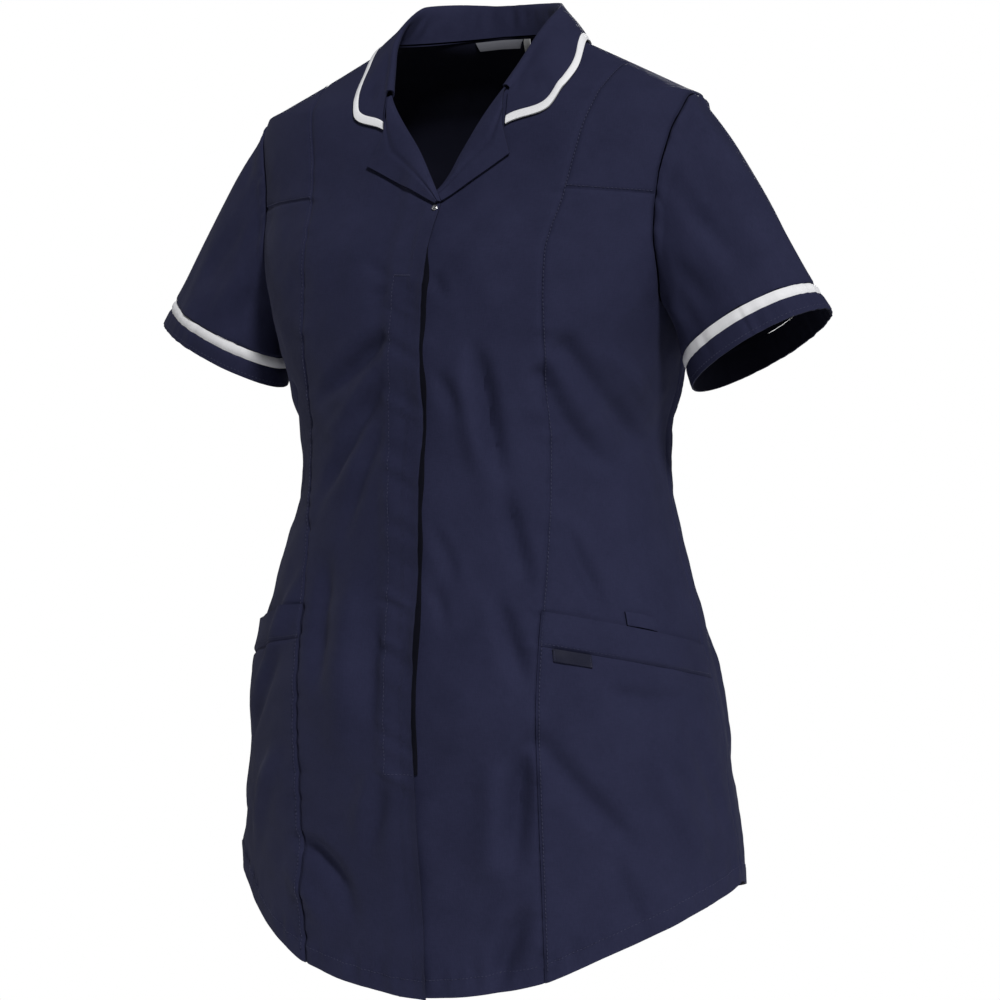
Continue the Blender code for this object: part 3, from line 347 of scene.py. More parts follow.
half_width, side_y, front_y, back_y, roundness = (smooth_curve(BODY, column) for column in range(1, 6))
princess_x = smooth_curve(PRINCESS, 1)
neck_x = {"right": smooth_curve(NECK, 1), "left": smooth_curve(NECK, 2)}
armhole_x = {"front": smooth_curve(ARMHOLE, 1), "back": smooth_curve(ARMHOLE, 2)}


def unit(vectors):
    return vectors / np.maximum(np.linalg.norm(vectors, axis=-1, keepdims=True), 1e-12)


def ease(t):
    """From 0 to 1 with level ends."""
    t = np.clip(t, 0.0, 1.0)
    return t * t * (3 - 2 * t)


def wrap(angle):
    """The same angle, within a half turn of the centre front."""
    return (angle + np.pi) % (2 * np.pi) - np.pi


# ---------------------------------------------------------------- the body's surface


def body_point(angle, height):
    angle, height = np.broadcast_arrays(np.asarray(angle, float), np.asarray(height, float))
    power = roundness(height)
    across, ahead = np.sin(angle), np.cos(angle)
    reach = (abs(across) ** power + abs(ahead) ** power) ** (-1 / power)
    line = side_y(height)
    depth = np.where(ahead > 0, line - front_y(height), back_y(height) - line)
    x = half_width(height) * reach * across
    return np.stack((x, line - depth * reach * ahead, height - shoulder_drop(x, height)), axis=-1)


def shoulder_drop(x, height):
    """How much lower the cloth lies towards the point of the wearer's right shoulder."""
    return SHOULDER_DROP * np.clip(-x / half_width(-0.080), 0.0, 1.0) * ease((height + 0.180) / 0.100)


def body_normal(angle, height):
    step = 1e-4
    round_it = body_point(angle + step, height) - body_point(angle - step, height)
    up_it = body_point(angle, height + step) - body_point(angle, height - step)
    return unit(np.cross(round_it, up_it))


def angle_at(x, height, half="front"):
    """The angle at which the section at this height reaches this distance from the centre."""
    x, height = np.broadcast_arrays(np.asarray(x, float), np.asarray(height, float))
    power = roundness(height)
    share = np.clip(abs(x) / half_width(height), 0.0, 1.0)
    ahead = (1 - share**power) ** (1 / power)
    angle = np.arctan2(share, ahead if half == "front" else -ahead)
    return np.copysign(angle, x)


def waves(first, second, height, wavelength, seed):
    """Smooth unevenness that closes on itself once round: `first` is an angle, `second` a length."""
    draws = np.random.default_rng(seed)
    total = np.zeros(np.broadcast(first, second).shape)
    count = 14
    for _ in range(count):
        lean, size, phase = draws.uniform(0, np.pi), draws.uniform(0.75, 1.35), draws.uniform(0, 2 * np.pi)
        rate = 2 * np.pi / (wavelength * size)
        turns = round(rate * ROUND_PER_RADIAN * np.cos(lean))
        total += np.cos(turns * first + rate * np.sin(lean) * second + phase)
    return total * height * np.sqrt(2 / count)


def ripples(place, wavelength, seed):
    """Unevenness along one length, between about -1 and 1."""
    draws = np.random.default_rng(seed)
    total = 0.0
    for size in (0.62, 0.83, 1.0, 1.31, 1.7):
        total = total + np.cos(2 * np.pi * place / (wavelength * size) + draws.uniform(0, 2 * np.pi))
    return total / 2.2


def crease(across, along, places, half_wide, depth, rooted):
    """One fold: `across` and `along` are lengths on the cloth, the places a curve's three points in the same."""
    (x0, y0), (x1, y1), (x2, y2) = places
    nearest = np.full(across.shape, np.inf)
    strength = np.zeros(across.shape)
    shares = np.linspace(0, 1, 7)
    xs = x0 * (1 - shares) * (1 - 2 * shares) + 4 * x1 * shares * (1 - shares) + x2 * shares * (2 * shares - 1)
    ys = y0 * (1 - shares) * (1 - 2 * shares) + 4 * y1 * shares * (1 - shares) + y2 * shares * (2 * shares - 1)
    for k in range(len(shares) - 1):
        run_x, run_y = xs[k + 1] - xs[k], ys[k + 1] - ys[k]
        share = ((across - xs[k]) * run_x + (along - ys[k]) * run_y) / (run_x**2 + run_y**2)
        share = np.clip(share, 0.0, 1.0)
        squared = (across - xs[k] - share * run_x) ** 2 + (along - ys[k] - share * run_y) ** 2
        closer = squared < nearest
        nearest = np.where(closer, squared, nearest)
        way = (k + share) / (len(shares) - 1)
        swell = (rooted + (1 - rooted) * ease(way / 0.35)) * ease((1 - way) / 0.45)
        strength = np.where(closer, swell, strength)
    wide = half_wide * (0.75 + 0.25 * strength)
    s = nearest / wide**2
    return depth * strength * (1 - 0.55 * s) * np.exp(-0.75 * s)


def relief(angle, height):
    """How far the cloth lies off the plain form at a place on the body."""
    angle, height = np.broadcast_arrays(np.asarray(angle, float), np.asarray(height, float))
    wrapped = wrap(angle)
    total = np.zeros(angle.shape)
    for a1, h1, a2, h2, a3, h3, half_wide, depth, rooted in CREASES:
        turn = wrap(angle - np.radians(a1))
        across = turn * ROUND_PER_RADIAN
        near = (abs(across) < 0.30) & (abs(height - (h1 + h3) / 2) < abs(h3 - h1) / 2 + 3 * half_wide)
        if not near.any():
            continue
        places = [(np.radians(a - a1) * ROUND_PER_RADIAN, h) for a, h in ((a1, h1), (a2, h2), (a3, h3))]
        total[near] += crease(across[near], height[near], places, half_wide, depth, rooted)
    for size, wavelength, seed in UNEVEN:
        total += waves(wrapped, height, size, wavelength, seed)
    point = body_point(angle, height)
    in_front = np.cos(wrapped) > 0
    from_princess = abs(abs(point[..., 0]) - princess_x(height))
    seam = np.where(in_front, np.exp(-((from_princess / 0.0085) ** 2)), 0.0)
    total += 0.00055 * seam * ripples(height, 0.017, 21)
    from_placket = abs(point[..., 0] - PLACKET_STITCH_X)
    placket = np.where(in_front & (height > -0.620) & (height < -0.200), np.exp(-((from_placket / 0.006) ** 2)), 0.0)
    total += 0.00040 * placket * ripples(height, 0.020, 22)
    return total * ease((-0.070 - height) / 0.050)


def hem_height(angle):
    """The height of the hem round the body."""
    return np.interp(wrap(np.asarray(angle, float)), *HEM_LINE)


def above_hem(angle, height):
    """The turned-up hem is a layer thicker, and puckers along its stitching."""
    up = height - hem_height(angle)
    layer = HEM_STEP * (1 - ease((up - HEM_TURN + 0.0008) / 0.0020))
    wrapped = wrap(np.asarray(angle, float))
    band = np.exp(-(((up - HEM_TURN) / 0.010) ** 2))
    return layer + 0.0010 * band * ripples(wrapped * ROUND_PER_RADIAN * 1.3, 0.0155, 23)


def wall_point(angle, height, out=0.0):
    """A point at a distance out from the body's outer face, folds and hem included."""
    angle, height = np.broadcast_arrays(np.asarray(angle, float), np.asarray(height, float))
    lifted = np.asarray(relief(angle, height) + above_hem(angle, height) + out)[..., None]
    return body_point(angle, height) + body_normal(angle, height) * lifted


EDGE_STAND = 0.0050  # how far the free front edge stands off, over what width, and how unevenly
EDGE_STAND_WIDTH = 0.016
PLACKET_RIPPLE = 0.0019


def placket_rise(x, height):
    """How far the wearer's right front stands off, to pass over the left front and the placket."""
    step = ease((x - (PLACKET_STITCH_X - PLACKET_RISE_WIDTH)) / PLACKET_RISE_WIDTH)
    foot = row_heights("front_edge")[row_number(PLACKET_FOOT_ROW)]
    over_placket = ease((height - foot + 0.020) / 0.018)
    lap_only = WALL + SEAM_GAP
    at_neck = 1 - ease((height + 0.130) / 0.030)
    flat = step * (lap_only + lap_only * over_placket) * at_neck
    along = ease((-0.160 - height) / 0.060) * (0.72 + 0.28 * ripples(height, 0.110, 24))
    to_edge = ease((x - (LAP - EDGE_STAND_WIDTH)) / EDGE_STAND_WIDTH)
    strip = step * ease((-0.190 - height) / 0.030) * over_placket
    crumple = strip * np.clip(0.5 + 0.6 * ripples(height + 0.5 * x, 0.021, 25), 0.0, 1.4)
    return flat + EDGE_STAND * along * to_edge**2 + PLACKET_RIPPLE * crumple * (0.4 + 0.6 * (1 - to_edge))


# ---------------------------------------------------------------- rows and lines of the pattern

LINES = ("front_edge", "princess", "side", "back_column", "centre_back")


def stations(length, start=True, finish=True, step=CLOTH_STEP):
    """Shares of the way along a length, closer together at the ends that are seams or edges."""
    ends = np.array(EDGE_STEPS)
    first = ends if start else ends[:1]
    last = ends if finish else ends[:1]
    count = max(2, int(round((length - first[-1] - last[-1]) / step)))
    inner = np.linspace(first[-1], length - last[-1], count + 1)
    return np.concatenate((first[:-1], inner, length - last[-2::-1])) / length


def row_shares():
    """For each section of the body's rows, its shares of the way to the next named row."""
    sections = []
    for row, following in zip(ROWS, ROWS[1:]):
        sections.append(stations(following[1] - row[1])[:-1])
    return sections


def row_number(name):
    """The index of a named row, counted from the hem."""
    names = [row[0] for row in ROWS]
    return sum(len(shares) for shares in row_shares()[: names.index(name)])


def row_heights(line):
    """The height of every row where it crosses a line."""
    column = 1 + LINES.index(line)
    heights = []
    for row, following, shares in zip(ROWS, ROWS[1:], row_shares()):
        if following[0] == "shoulder":
            shares = 1 - (1 - shares) ** SHOULDER_EASE
        heights.extend(row[column] + (following[column] - row[column]) * shares)
    heights.append(ROWS[-1][column])
    return np.array(heights)


def row_angles(line, side):
    """The angle of every row where it crosses a line, on the wearer's right or left."""
    sign = SIGNS[side]
    heights = row_heights(line)
    rows = np.arange(len(heights))
    if line == "front_edge":
        wander = smooth_curve(EDGE_WANDER, 1)(heights) if side == "right" else 0.0
        x = np.where(rows <= row_number("chest seam"), wander - sign * LAP, neck_x[side](heights))
        angles = angle_at(x, heights)
    elif line == "princess":
        angles = angle_at(sign * princess_x(heights), heights)
    elif line == "back_column":
        angles = angle_at(np.full(len(heights), sign * BACK_COLUMN_X), heights, "back")
    elif line == "centre_back":
        angles = np.full(len(heights), sign * np.pi)
    else:
        angles = np.where(rows <= row_number("underarm"), sign * np.pi / 2, 0.0)
    if line in ("front_edge", "princess", "back_column"):
        angles[-1] = sign * np.pi / 2
    return angles


def armhole_angles(side, half):
    """The side line's angles, which split round the armhole above the underarm."""
    sign = SIGNS[side]
    heights = row_heights("side")
    angles = angle_at(sign * armhole_x[half](heights), heights, half)
    angles[: row_number("underarm") + 1] = sign * np.pi / 2
    angles[-1] = sign * np.pi / 2
    return angles


def between(start, end, shares):
    """Columns between two lines of places, one for each share of the way."""
    return start[:, None] + (end - start)[:, None] * shares[None, :]


def front_grid(side):
    """Places of a centre front, from its edge to the princess seam."""
    shares = stations(PRINCESS_X + LAP)
    angles = between(row_angles("front_edge", side), row_angles("princess", side), shares)
    heights = between(row_heights("front_edge"), row_heights("princess"), shares**1.9)
    return angles, heights


def hem_spread(heights, foot_line, hem):
    """Moves the rows below the placket foot so that they close up or open evenly down to a shaped hem."""
    foot = row_number(PLACKET_FOOT_ROW)
    shares = row_shares()[0][:, None]
    heights[:foot] = hem + (foot_line - hem) * shares
    return heights


def side_front_grid(side):
    """Places of a side front, from the princess seam to the side seam and the armhole."""
    shares = stations(SIDE_FRONT_WIDTH)
    angles = between(row_angles("princess", side), armhole_angles(side, "front"), shares)
    heights = between(row_heights("princess"), row_heights("side"), shares)
    hem = smooth_curve(HEM, 1 if side == "left" else 2)(shares)
    return angles, hem_spread(heights, heights[row_number(PLACKET_FOOT_ROW)], hem)


def back_grid(outer_width=0.160, inner_width=0.110):
    """Places of the back, from the wearer's left side seam round to the right one."""
    outer, inner = stations(outer_width, finish=False), stations(inner_width, False, False)[1:]
    halves = {}
    foot = row_number(PLACKET_FOOT_ROW)
    for side in ("left", "right"):
        column, centre = row_angles("back_column", side), row_angles("centre_back", side)
        side_line = row_heights("side")
        side_hem = HEM[-1][1 if side == "left" else 2]
        side_line[:foot] = side_hem + (side_line[foot] - side_hem) * row_shares()[0]
        angles = [between(armhole_angles(side, "back"), column, outer), between(column, centre, inner)]
        heights = [
            between(side_line, row_heights("back_column"), outer),
            between(row_heights("back_column"), row_heights("centre_back"), inner * (1.5 - 0.5 * inner**2)),
        ]
        halves[side] = np.hstack(angles), np.hstack(heights)
    left, right = halves["left"], halves["right"]
    angles = np.hstack((left[0], right[0][:, -2::-1] + 2 * np.pi))
    heights = np.hstack((left[1], right[1][:, -2::-1]))
    return angles, heights


def hem_line():
    """Angle and height of the hem all the way round, for what lies near it."""
    angles, heights = [], []
    for side in ("right", "left"):
        for grid in (front_grid(side), side_front_grid(side)):
            angles.append(grid[0][0])
            heights.append(grid[1][0])
    back_angles, back_heights = back_grid()
    angles.append(wrap(back_angles[0]))
    heights.append(back_heights[0])
    angles, heights = np.concatenate(angles), np.concatenate(heights)
    order = np.argsort(angles)
    return angles[order], heights[order]


HEM_LINE = hem_line()

# ---------------------------------------------------------------- meshes


def cloth_mesh(name, vertices, faces, surface, across, along, sharp_angle=0.9, inside=0.0):
    """A mesh object that carries its place on the cloth, in metres, for the weave, and 1 where it is the inside."""
    mesh = bpy.data.meshes.new(name)
    mesh.from_pydata(np.asarray(vertices).tolist(), [], [tuple(face) for face in faces])
    mesh.materials.append(surface)
    mesh.shade_smooth()
    mesh.set_sharp_from_angle(angle=sharp_angle)
    places = mesh.attributes.new("cloth", "FLOAT_VECTOR", "POINT")
    flat = np.stack((across, along, np.broadcast_to(np.asarray(inside, float), across.shape)), axis=-1)
    places.data.foreach_set("vector", flat.astype(np.float32).ravel())
    thing = bpy.data.objects.new(name, mesh)
    bpy.context.scene.collection.objects.link(thing)
    return thing


def lengths_over(points, axis):
    """The length run along one axis of a grid of points, from its first row or column."""
    steps = np.linalg.norm(np.diff(points, axis=axis), axis=-1)
    zero = np.zeros_like(np.take(steps, [0], axis=axis))
    return np.concatenate((zero, np.cumsum(steps, axis=axis)), axis=axis)


def grid_faces(rows, columns, ring):
    """Quads of a wall between two grids of points, the outer one first."""
    i, j = np.meshgrid(np.arange(rows - 1), np.arange(columns if ring else columns - 1), indexing="ij")
    i, j = i.ravel(), j.ravel()
    k = (j + 1) % columns
    a, b, c, d = i * columns + j, i * columns + k, (i + 1) * columns + j, (i + 1) * columns + k
    shift = rows * columns
    faces = [np.stack((a, b, d, c), 1), np.stack((a, c, d, b), 1) + shift]
    j = np.arange(columns if ring else columns - 1)
    k = (j + 1) % columns
    top = (rows - 1) * columns
    faces.append(np.stack((j, j + shift, k + shift, k), 1))
    faces.append(np.stack((top + j, top + k, top + k + shift, top + j + shift), 1))
    if not ring:
        i = np.arange(rows - 1)
        a, c = i * columns, (i + 1) * columns
        faces.append(np.stack((a, c, c + shift, a + shift), 1))
        a, c = a + columns - 1, c + columns - 1
        faces.append(np.stack((a, a + shift, c + shift, c), 1))
    return np.concatenate(faces)


def wall_between(name, outer, inner, surface, ring=False, grain=None):
    """A closed wall between two grids of points; a ring's columns close on themselves."""
    rows, columns = outer.shape[:2]
    faces = grid_faces(rows, columns, ring)
    vertices = np.concatenate((outer.reshape(-1, 3), inner.reshape(-1, 3)))
    corners = vertices[faces]
    diagonals = np.cross(corners[:, 2] - corners[:, 0], corners[:, 3] - corners[:, 1])
    if np.einsum("ij,ij->", corners.mean(axis=1) - vertices.mean(axis=0), diagonals) < 0:
        faces = faces[:, ::-1]
    if grain is None:
        grain = lengths_over(outer, 1), lengths_over(outer, 0)
    across, along = (np.tile(part.ravel(), 2) for part in grain)
    inside = np.repeat((0.0, 1.0), rows * columns)
    return cloth_mesh(name, vertices, faces, surface, across, along, inside=inside)


def seam_dip(points, edges):
    """How far a grid of points sinks towards its sewn edges."""
    across, along = lengths_over(points, 1), lengths_over(points, 0)
    reach = {
        "first column": across,
        "last column": across[:, -1:] - across,
        "first row": along,
        "last row": along[-1:] - along,
    }
    total = np.zeros(across.shape)
    for edge in edges:
        total = np.maximum(total, np.exp(-((reach[edge] / SEAM_DIP_WIDTH) ** 2)))
    return -SEAM_DIP * total


def panel(name, angles, heights, surface, out=0.0, wall=WALL, edges=()):
    """A cloth piece on the body: `out` is how far its outer face stands off."""
    plain = body_point(angles, heights)
    dip = seam_dip(plain, edges)
    normals = body_normal(angles, heights)
    outer = wall_point(angles, heights, out) + normals * dip[..., None]
    inner = outer - normals * wall
    grain = np.mod(angles, 2 * np.pi) * ROUND_PER_RADIAN, heights
    return wall_between(name, outer, inner, surface, grain=grain)


def settle(piece, slot, *nodes):
    """Hides the CAD nodes that a piece stands for, and makes the piece move with the root."""
    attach(piece, "root")
    if nodes:
        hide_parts(*nodes)
    return piece


# ---------------------------------------------------------------- stitches

STITCH_PITCH = 0.0033
STITCH_LENGTH = 0.0023
STITCH_RADIUS = 0.00030


class Stitching:
    """Rows of stitches that become one mesh."""

    def __init__(self):
        self.vertices, self.faces, self.count = [], [], 0

    def line(self, points, normals, pitch=STITCH_PITCH, length=STITCH_LENGTH, radius=STITCH_RADIUS):
        """Stitches along a line of points, each a short thread that dips in at both ends."""
        run = np.concatenate(([0.0], np.cumsum(np.linalg.norm(np.diff(points, axis=0), axis=1))))
        starts = np.arange(0.0, run[-1] - length, pitch)

        def at(values, where):
            return np.stack([np.interp(where, run, values[:, k]) for k in range(3)], axis=-1)

        rings = []
        for share, size, lift in ((0.0, 0.4, -0.9), (0.22, 1.0, 0.25), (0.78, 1.0, 0.25), (1.0, 0.4, -0.9)):
            where = starts + share * length
            normal = unit(at(normals, where))
            ahead = unit(at(points, where + 2e-4) - at(points, where - 2e-4))
            side = np.cross(normal, ahead)
            centre = at(points, where) + normal * (radius * lift)
            step = radius * size
            rings.append(np.stack([centre + way * step for way in (side, normal, -side, -normal)], 1))
        block = np.stack(rings, axis=1).reshape(-1, 3)
        one = []
        for r in range(0, 12, 4):
            one += [(r + k, r + (k + 1) % 4, r + 4 + (k + 1) % 4, r + 4 + k) for k in range(4)]
        one += [(3, 2, 1, 0), (12, 13, 14, 15)]
        faces = np.array(one)[None] + (16 * np.arange(len(starts)))[:, None, None] + self.count
        self.vertices.append(block)
        self.faces.append(faces.reshape(-1, 4))
        self.count += len(block)

    def on_body(self, angles, heights, out, **sizes):
        """A line of stitches through places on the body."""
        self.line(wall_point(angles, heights, out), body_normal(angles, heights), **sizes)

    def piece(self, name, surface, slot):
        vertices, faces = np.concatenate(self.vertices), np.concatenate(self.faces)
        made = cloth_mesh(name, vertices, faces, surface, vertices[:, 0], vertices[:, 2], 3.2)
        return settle(made, slot)


# ---------------------------------------------------------------- materials


class Nodes:
    """A material's node tree, with short calls for the nodes used here."""

    def __init__(self, name, roughness, metallic=0.0, specular=0.12):
        self.material = bpy.data.materials.new(name)
        self.material.use_nodes = True
        self.tree = self.material.node_tree
        self.shader = self.tree.nodes["Principled BSDF"]
        self.shader.inputs["Roughness"].default_value = roughness
        self.shader.inputs["Metallic"].default_value = metallic
        self.shader.inputs["Specular IOR Level"].default_value = specular

    def node(self, kind, **inputs):
        made = self.tree.nodes.new(kind)
        for key, value in inputs.items():
            self.feed(made, key, value)
        return made

    def feed(self, node, key, value):
        socket = node.inputs[int(key[1:]) if key[0] == "i" and key[1:].isdigit() else key]
        if isinstance(value, bpy.types.NodeSocket):
            self.tree.links.new(value, socket)
        else:
            socket.default_value = value

    def math(self, operation, first, second=0.0):
        made = self.node("ShaderNodeMath", i0=first, i1=second)
        made.operation = operation
        return made.outputs[0]

    def mix(self, share, first, second):
        made = self.tree.nodes.new("ShaderNodeMix")
        made.data_type = "RGBA"
        for key, value in (("Factor", share), ("A", first), ("B", second)):
            socket = next(s for s in made.inputs if s.name == key and s.enabled)
            if isinstance(value, bpy.types.NodeSocket):
                self.tree.links.new(value, socket)
            else:
                socket.default_value = value
        return next(s for s in made.outputs if s.enabled)

    def noise(self, vector, scale, detail=2.0, roughness=0.5):
        made = self.node("ShaderNodeTexNoise", Vector=vector, Scale=scale, Detail=detail, Roughness=roughness)
        return made.outputs["Fac"]

    def stretched(self, vector, scale, turn=0.0):
        made = self.node("ShaderNodeMapping", Vector=vector, Scale=scale, Rotation=(0.0, 0.0, turn))
        return made.outputs[0]

    def place(self):
        """The place on the cloth, in metres."""
        made = self.tree.nodes.new("ShaderNodeAttribute")
        made.attribute_name = "cloth"
        return made.outputs["Vector"]

    def solid_place(self):
        return self.tree.nodes.new("ShaderNodeTexCoord").outputs["Object"]

    def bump(self, height, distance, strength=1.0):
        made = self.node("ShaderNodeBump", Height=height, Distance=distance, Strength=strength)
        self.tree.links.new(made.outputs["Normal"], self.shader.inputs["Normal"])


TWILL_PITCH = 0.00085  # from one diagonal rib of the weave to the next
INSIDE_PAINTED_SHADE = 0.85  # painted shade: how far the cloth's inner faces are darkened towards near-black, standing for the shade inside the garment


def woven(name, dark, light, roughness, sheen, rib_height=0.00009, pitch=TWILL_PITCH, slant=0.96, rib_tone=0.22):
    """A twill or tape: diagonal ribs, yarns of uneven tone, a slight bloom of fibres, and painted shade on its inner
    faces.
    """
    n = Nodes(name, roughness)
    place = n.place()
    turned = n.node("ShaderNodeMapping", Vector=place, Rotation=(0.0, 0.0, slant))
    parts = n.node("ShaderNodeSeparateXYZ", Vector=turned.outputs[0])
    wobble = n.math("MULTIPLY", n.noise(n.stretched(place, (1.0, 1.0, 1.0)), 260.0), 1.6)
    phase = n.math("ADD", n.math("MULTIPLY", parts.outputs[0], 2 * np.pi / pitch), wobble)
    rib = n.math("MULTIPLY_ADD", n.math("SINE", phase), 0.5)
    rib.node.inputs[2].default_value = 0.5
    weft = n.noise(n.stretched(place, (0.35, 2.2, 1.0)), 520.0, 2.0)
    warp = n.noise(n.stretched(place, (2.2, 0.35, 1.0)), 480.0, 2.0)
    cloudy = n.noise(n.solid_place(), 26.0, 4.0, 0.6)
    yarns = n.math("ADD", n.math("MULTIPLY", weft, 0.5), n.math("MULTIPLY", warp, 0.5))
    tone = n.math("ADD", n.math("MULTIPLY", rib, rib_tone), n.math("MULTIPLY", yarns, 0.55))
    tone = n.math("ADD", tone, n.math("MULTIPLY", cloudy, 0.45))
    share = n.node("ShaderNodeMapRange", Value=tone)
    share.inputs["From Min"].default_value = 0.36
    share.inputs["From Max"].default_value = 0.84
    colour = n.mix(share.outputs[0], (*dark, 1.0), (*light, 1.0))
    # The inner faces are darkened: painted shade for the inside of the garment, where little light reaches.
    inside = n.node("ShaderNodeSeparateXYZ", Vector=place).outputs[2]
    shade = n.math("MULTIPLY", inside, INSIDE_PAINTED_SHADE)
    colour = n.mix(shade, colour, (dark[0] * 0.2, dark[1] * 0.2, dark[2] * 0.2, 1.0))
    n.tree.links.new(colour, n.shader.inputs["Base Color"])
    n.bump(n.math("ADD", n.math("MULTIPLY", rib, 0.6), n.math("MULTIPLY", yarns, 0.9)), rib_height)
    n.shader.inputs["Sheen Weight"].default_value = sheen
    n.shader.inputs["Sheen Roughness"].default_value = 0.45
    n.shader.inputs["Sheen Tint"].default_value = (0.62, 0.66, 1.0, 1.0)
    return n.material


def snap_metal():
    n = Nodes("brushed nickel snap", 0.28, 1.0, 0.5)
    place = n.solid_place()
    scratches = n.noise(n.stretched(place, (1.0, 1.0, 6.0)), 1400.0, 3.0)
    colour = n.mix(scratches, (0.50, 0.50, 0.52, 1.0), (0.78, 0.78, 0.80, 1.0))
    n.tree.links.new(colour, n.shader.inputs["Base Color"])
    n.bump(scratches, 0.00002)
    return n.material


NAVY = woven("navy twill", (0.0125, 0.0138, 0.0365), (0.0225, 0.0243, 0.0580), 0.85, 0.02)
# near-black navy: painted shade for the dark gap under the right front's free edge, used on the placket
PAINTED_SHADE_NAVY = woven("navy twill with painted shade", (0.0022, 0.0024, 0.0060), (0.0040, 0.0043, 0.0100), 0.90, 0.0)
THREAD = woven("navy thread", (0.0240, 0.0260, 0.0560), (0.0480, 0.0510, 0.0950), 0.60, 0.10, 0.00004, 0.0006)
WHITE = woven("white piping", (0.74, 0.74, 0.76), (0.86, 0.86, 0.88), 0.75, 0.05, rib_tone=0.12)
GREY_TAPE = woven("grey satin tape", (0.44, 0.45, 0.52), (0.56, 0.57, 0.64), 0.55, 0.05, 0.00004, 0.0005, 0.0)
WHITE_TAPE = woven("white satin tape", (0.78, 0.78, 0.80), (0.88, 0.88, 0.90), 0.55, 0.05, 0.00004, 0.0005, 0.0)
DARK_TAPE = woven(
    "dark satin tape", (0.0080, 0.0088, 0.0200), (0.0140, 0.0150, 0.0310), 0.50, 0.05, 0.00004, 0.0005, 0.0
)
NICKEL = snap_metal()

# ---------------------------------------------------------------- the body's pieces


def row_slice(grid, first, last):
    low, high = row_number(first), row_number(last)
    return grid[0][low : high + 1], grid[1][low : high + 1]


def build_fronts():
    for side in ("left", "right"):
        angles, heights = front_grid(side)
        rise = placket_rise(body_point(angles, heights)[..., 0], heights) if side == "right" else 0.0
        piece = panel(f"front_{side}_cloth", angles, heights, NAVY, rise, WALL, ("last column", "last row"))
        settle(piece, "navy_twill", f"front_{side}")
        yield piece


PLACKET_PAINTED_SHADOW = 0.0024  # painted shadow: how far the near-black placket strip reaches past the lap's free edge, standing for the dark gap there


def build_placket():
    line = row_heights("front_edge")
    low = row_number(PLACKET_FOOT_ROW)
    high = int(np.searchsorted(line, PLACKET_TOP_Z))
    shares = stations(2 * LAP)
    line = line[low : high + 1, None]
    # the near-black strip that shows past the free edge is painted shadow of the gap, fading out at both ends
    shadow_reach = ease((line[-1] - line) / 0.030) * ease((line - line[0]) / 0.040) * (0.75 + 0.25 * ripples(line, 0.070, 27))
    first = LAP - PLACKET_INSET + (PLACKET_INSET + PLACKET_PAINTED_SHADOW) * shadow_reach + smooth_curve(EDGE_WANDER, 1)(line) * shadow_reach
    xs = first + (PLACKET_INSET - LAP - first) * shares
    heights = np.broadcast_to(line, xs.shape)
    angles = angle_at(xs, heights)
    # The placket is coloured near-black: painted shadow of the gap under the lap's edge, showing as a dark line beside
    # it
    piece = panel("placket_cloth", angles, heights, PAINTED_SHADE_NAVY, WALL + SEAM_GAP)
    yield settle(piece, "navy_twill", "placket")


def build_side_fronts():
    for side in ("left", "right"):
        grid = side_front_grid(side)
        low, high = row_slice(grid, "hem", "chest seam"), row_slice(grid, "chest seam", "shoulder")
        edges = ("first column", "last column", "last row")
        yield settle(panel(f"side_front_{side}_cloth", *low, NAVY, edges=edges), "navy_twill", f"side_front_{side}")
        edges = ("first column", "last column", "first row", "last row")
        yield settle(panel(f"chest_yoke_{side}_cloth", *high, NAVY, edges=edges), "navy_twill", f"chest_yoke_{side}")


def build_back():
    piece = panel("back_cloth", *back_grid(), NAVY, edges=("first column", "last column", "last row"))
    yield settle(piece, "navy_twill", "back")


def build_pockets():
    for side in ("left", "right"):
        grid = side_front_grid(side)
        low, band = row_slice(grid, "hem", "band seam"), row_slice(grid, "band seam", "pocket edge")
        out = SEAM_GAP + WALL
        piece = panel(f"pocket_{side}_cloth", *low, NAVY, out, edges=("first column", "last column", "last row"))
        yield settle(piece, "navy_twill", f"pocket_{side}")
        across = np.linspace(0, 1, band[0].shape[1])
        up = np.linspace(0, 1, band[0].shape[0])[:, None]
        gape = POCKET_GAPE * np.sin(np.pi * across) ** 0.7 * up + 0.0004 * np.sin(np.pi * up)
        out = SEAM_GAP + DOUBLE_WALL + gape
        edges = ("first column", "last column", "first row")
        piece = panel(f"pocket_band_{side}_cloth", *band, NAVY, out, DOUBLE_WALL, edges)
        yield settle(piece, "navy_twill", f"pocket_band_{side}")


def height_on_row(angle, row):
    """The height of a named row of the wearer's left side front at an angle."""
    angles, heights = side_front_grid("left")
    number = row_number(row)
    return np.interp(angle, angles[number], heights[number])


def build_pocket_trims():
    shares = stations(LOOP_WIDTH)
    angles = np.radians(LOOP_ANGLES[0] + (LOOP_ANGLES[1] - LOOP_ANGLES[0]) * shares)
    foot = height_on_row(angles, "pocket edge") + 0.0012
    up = stations(LOOP_HEIGHT)[:, None]
    arch = 0.0018 * np.sin(np.clip((shares - 0.1) / 0.8, 0, 1) * np.pi) + 0.0003 * np.sin(np.pi * up)
    angles, heights = np.broadcast_arrays(angles[None], foot[None] + LOOP_HEIGHT * up)
    piece = panel("pocket_loop_cloth", angles, heights, NAVY, TRIM_GAP + WALL + arch, WALL)
    yield settle(piece, "navy_twill", "pocket_loop")
    shares, up = stations(LABEL_WIDTH), stations(LABEL_HEIGHT)[:, None]
    angles = np.radians(POCKET_LABEL_ANGLES[0] + (POCKET_LABEL_ANGLES[1] - POCKET_LABEL_ANGLES[0]) * shares)
    top = height_on_row(angles, "band seam") - 0.0006
    angles, heights = np.broadcast_arrays(angles[None], top[None] - LABEL_HEIGHT * (1 - up))
    wave = 0.0002 * np.sin(2.2 * np.pi * shares) * (1 - up)
    piece = panel("pocket_label_tape", angles, heights, DARK_TAPE, POCKET_LABEL_OUT + wave, LABEL_WALL)
    yield settle(piece, "pocket_label_tape", "pocket_label")


# ---------------------------------------------------------------- sleeves


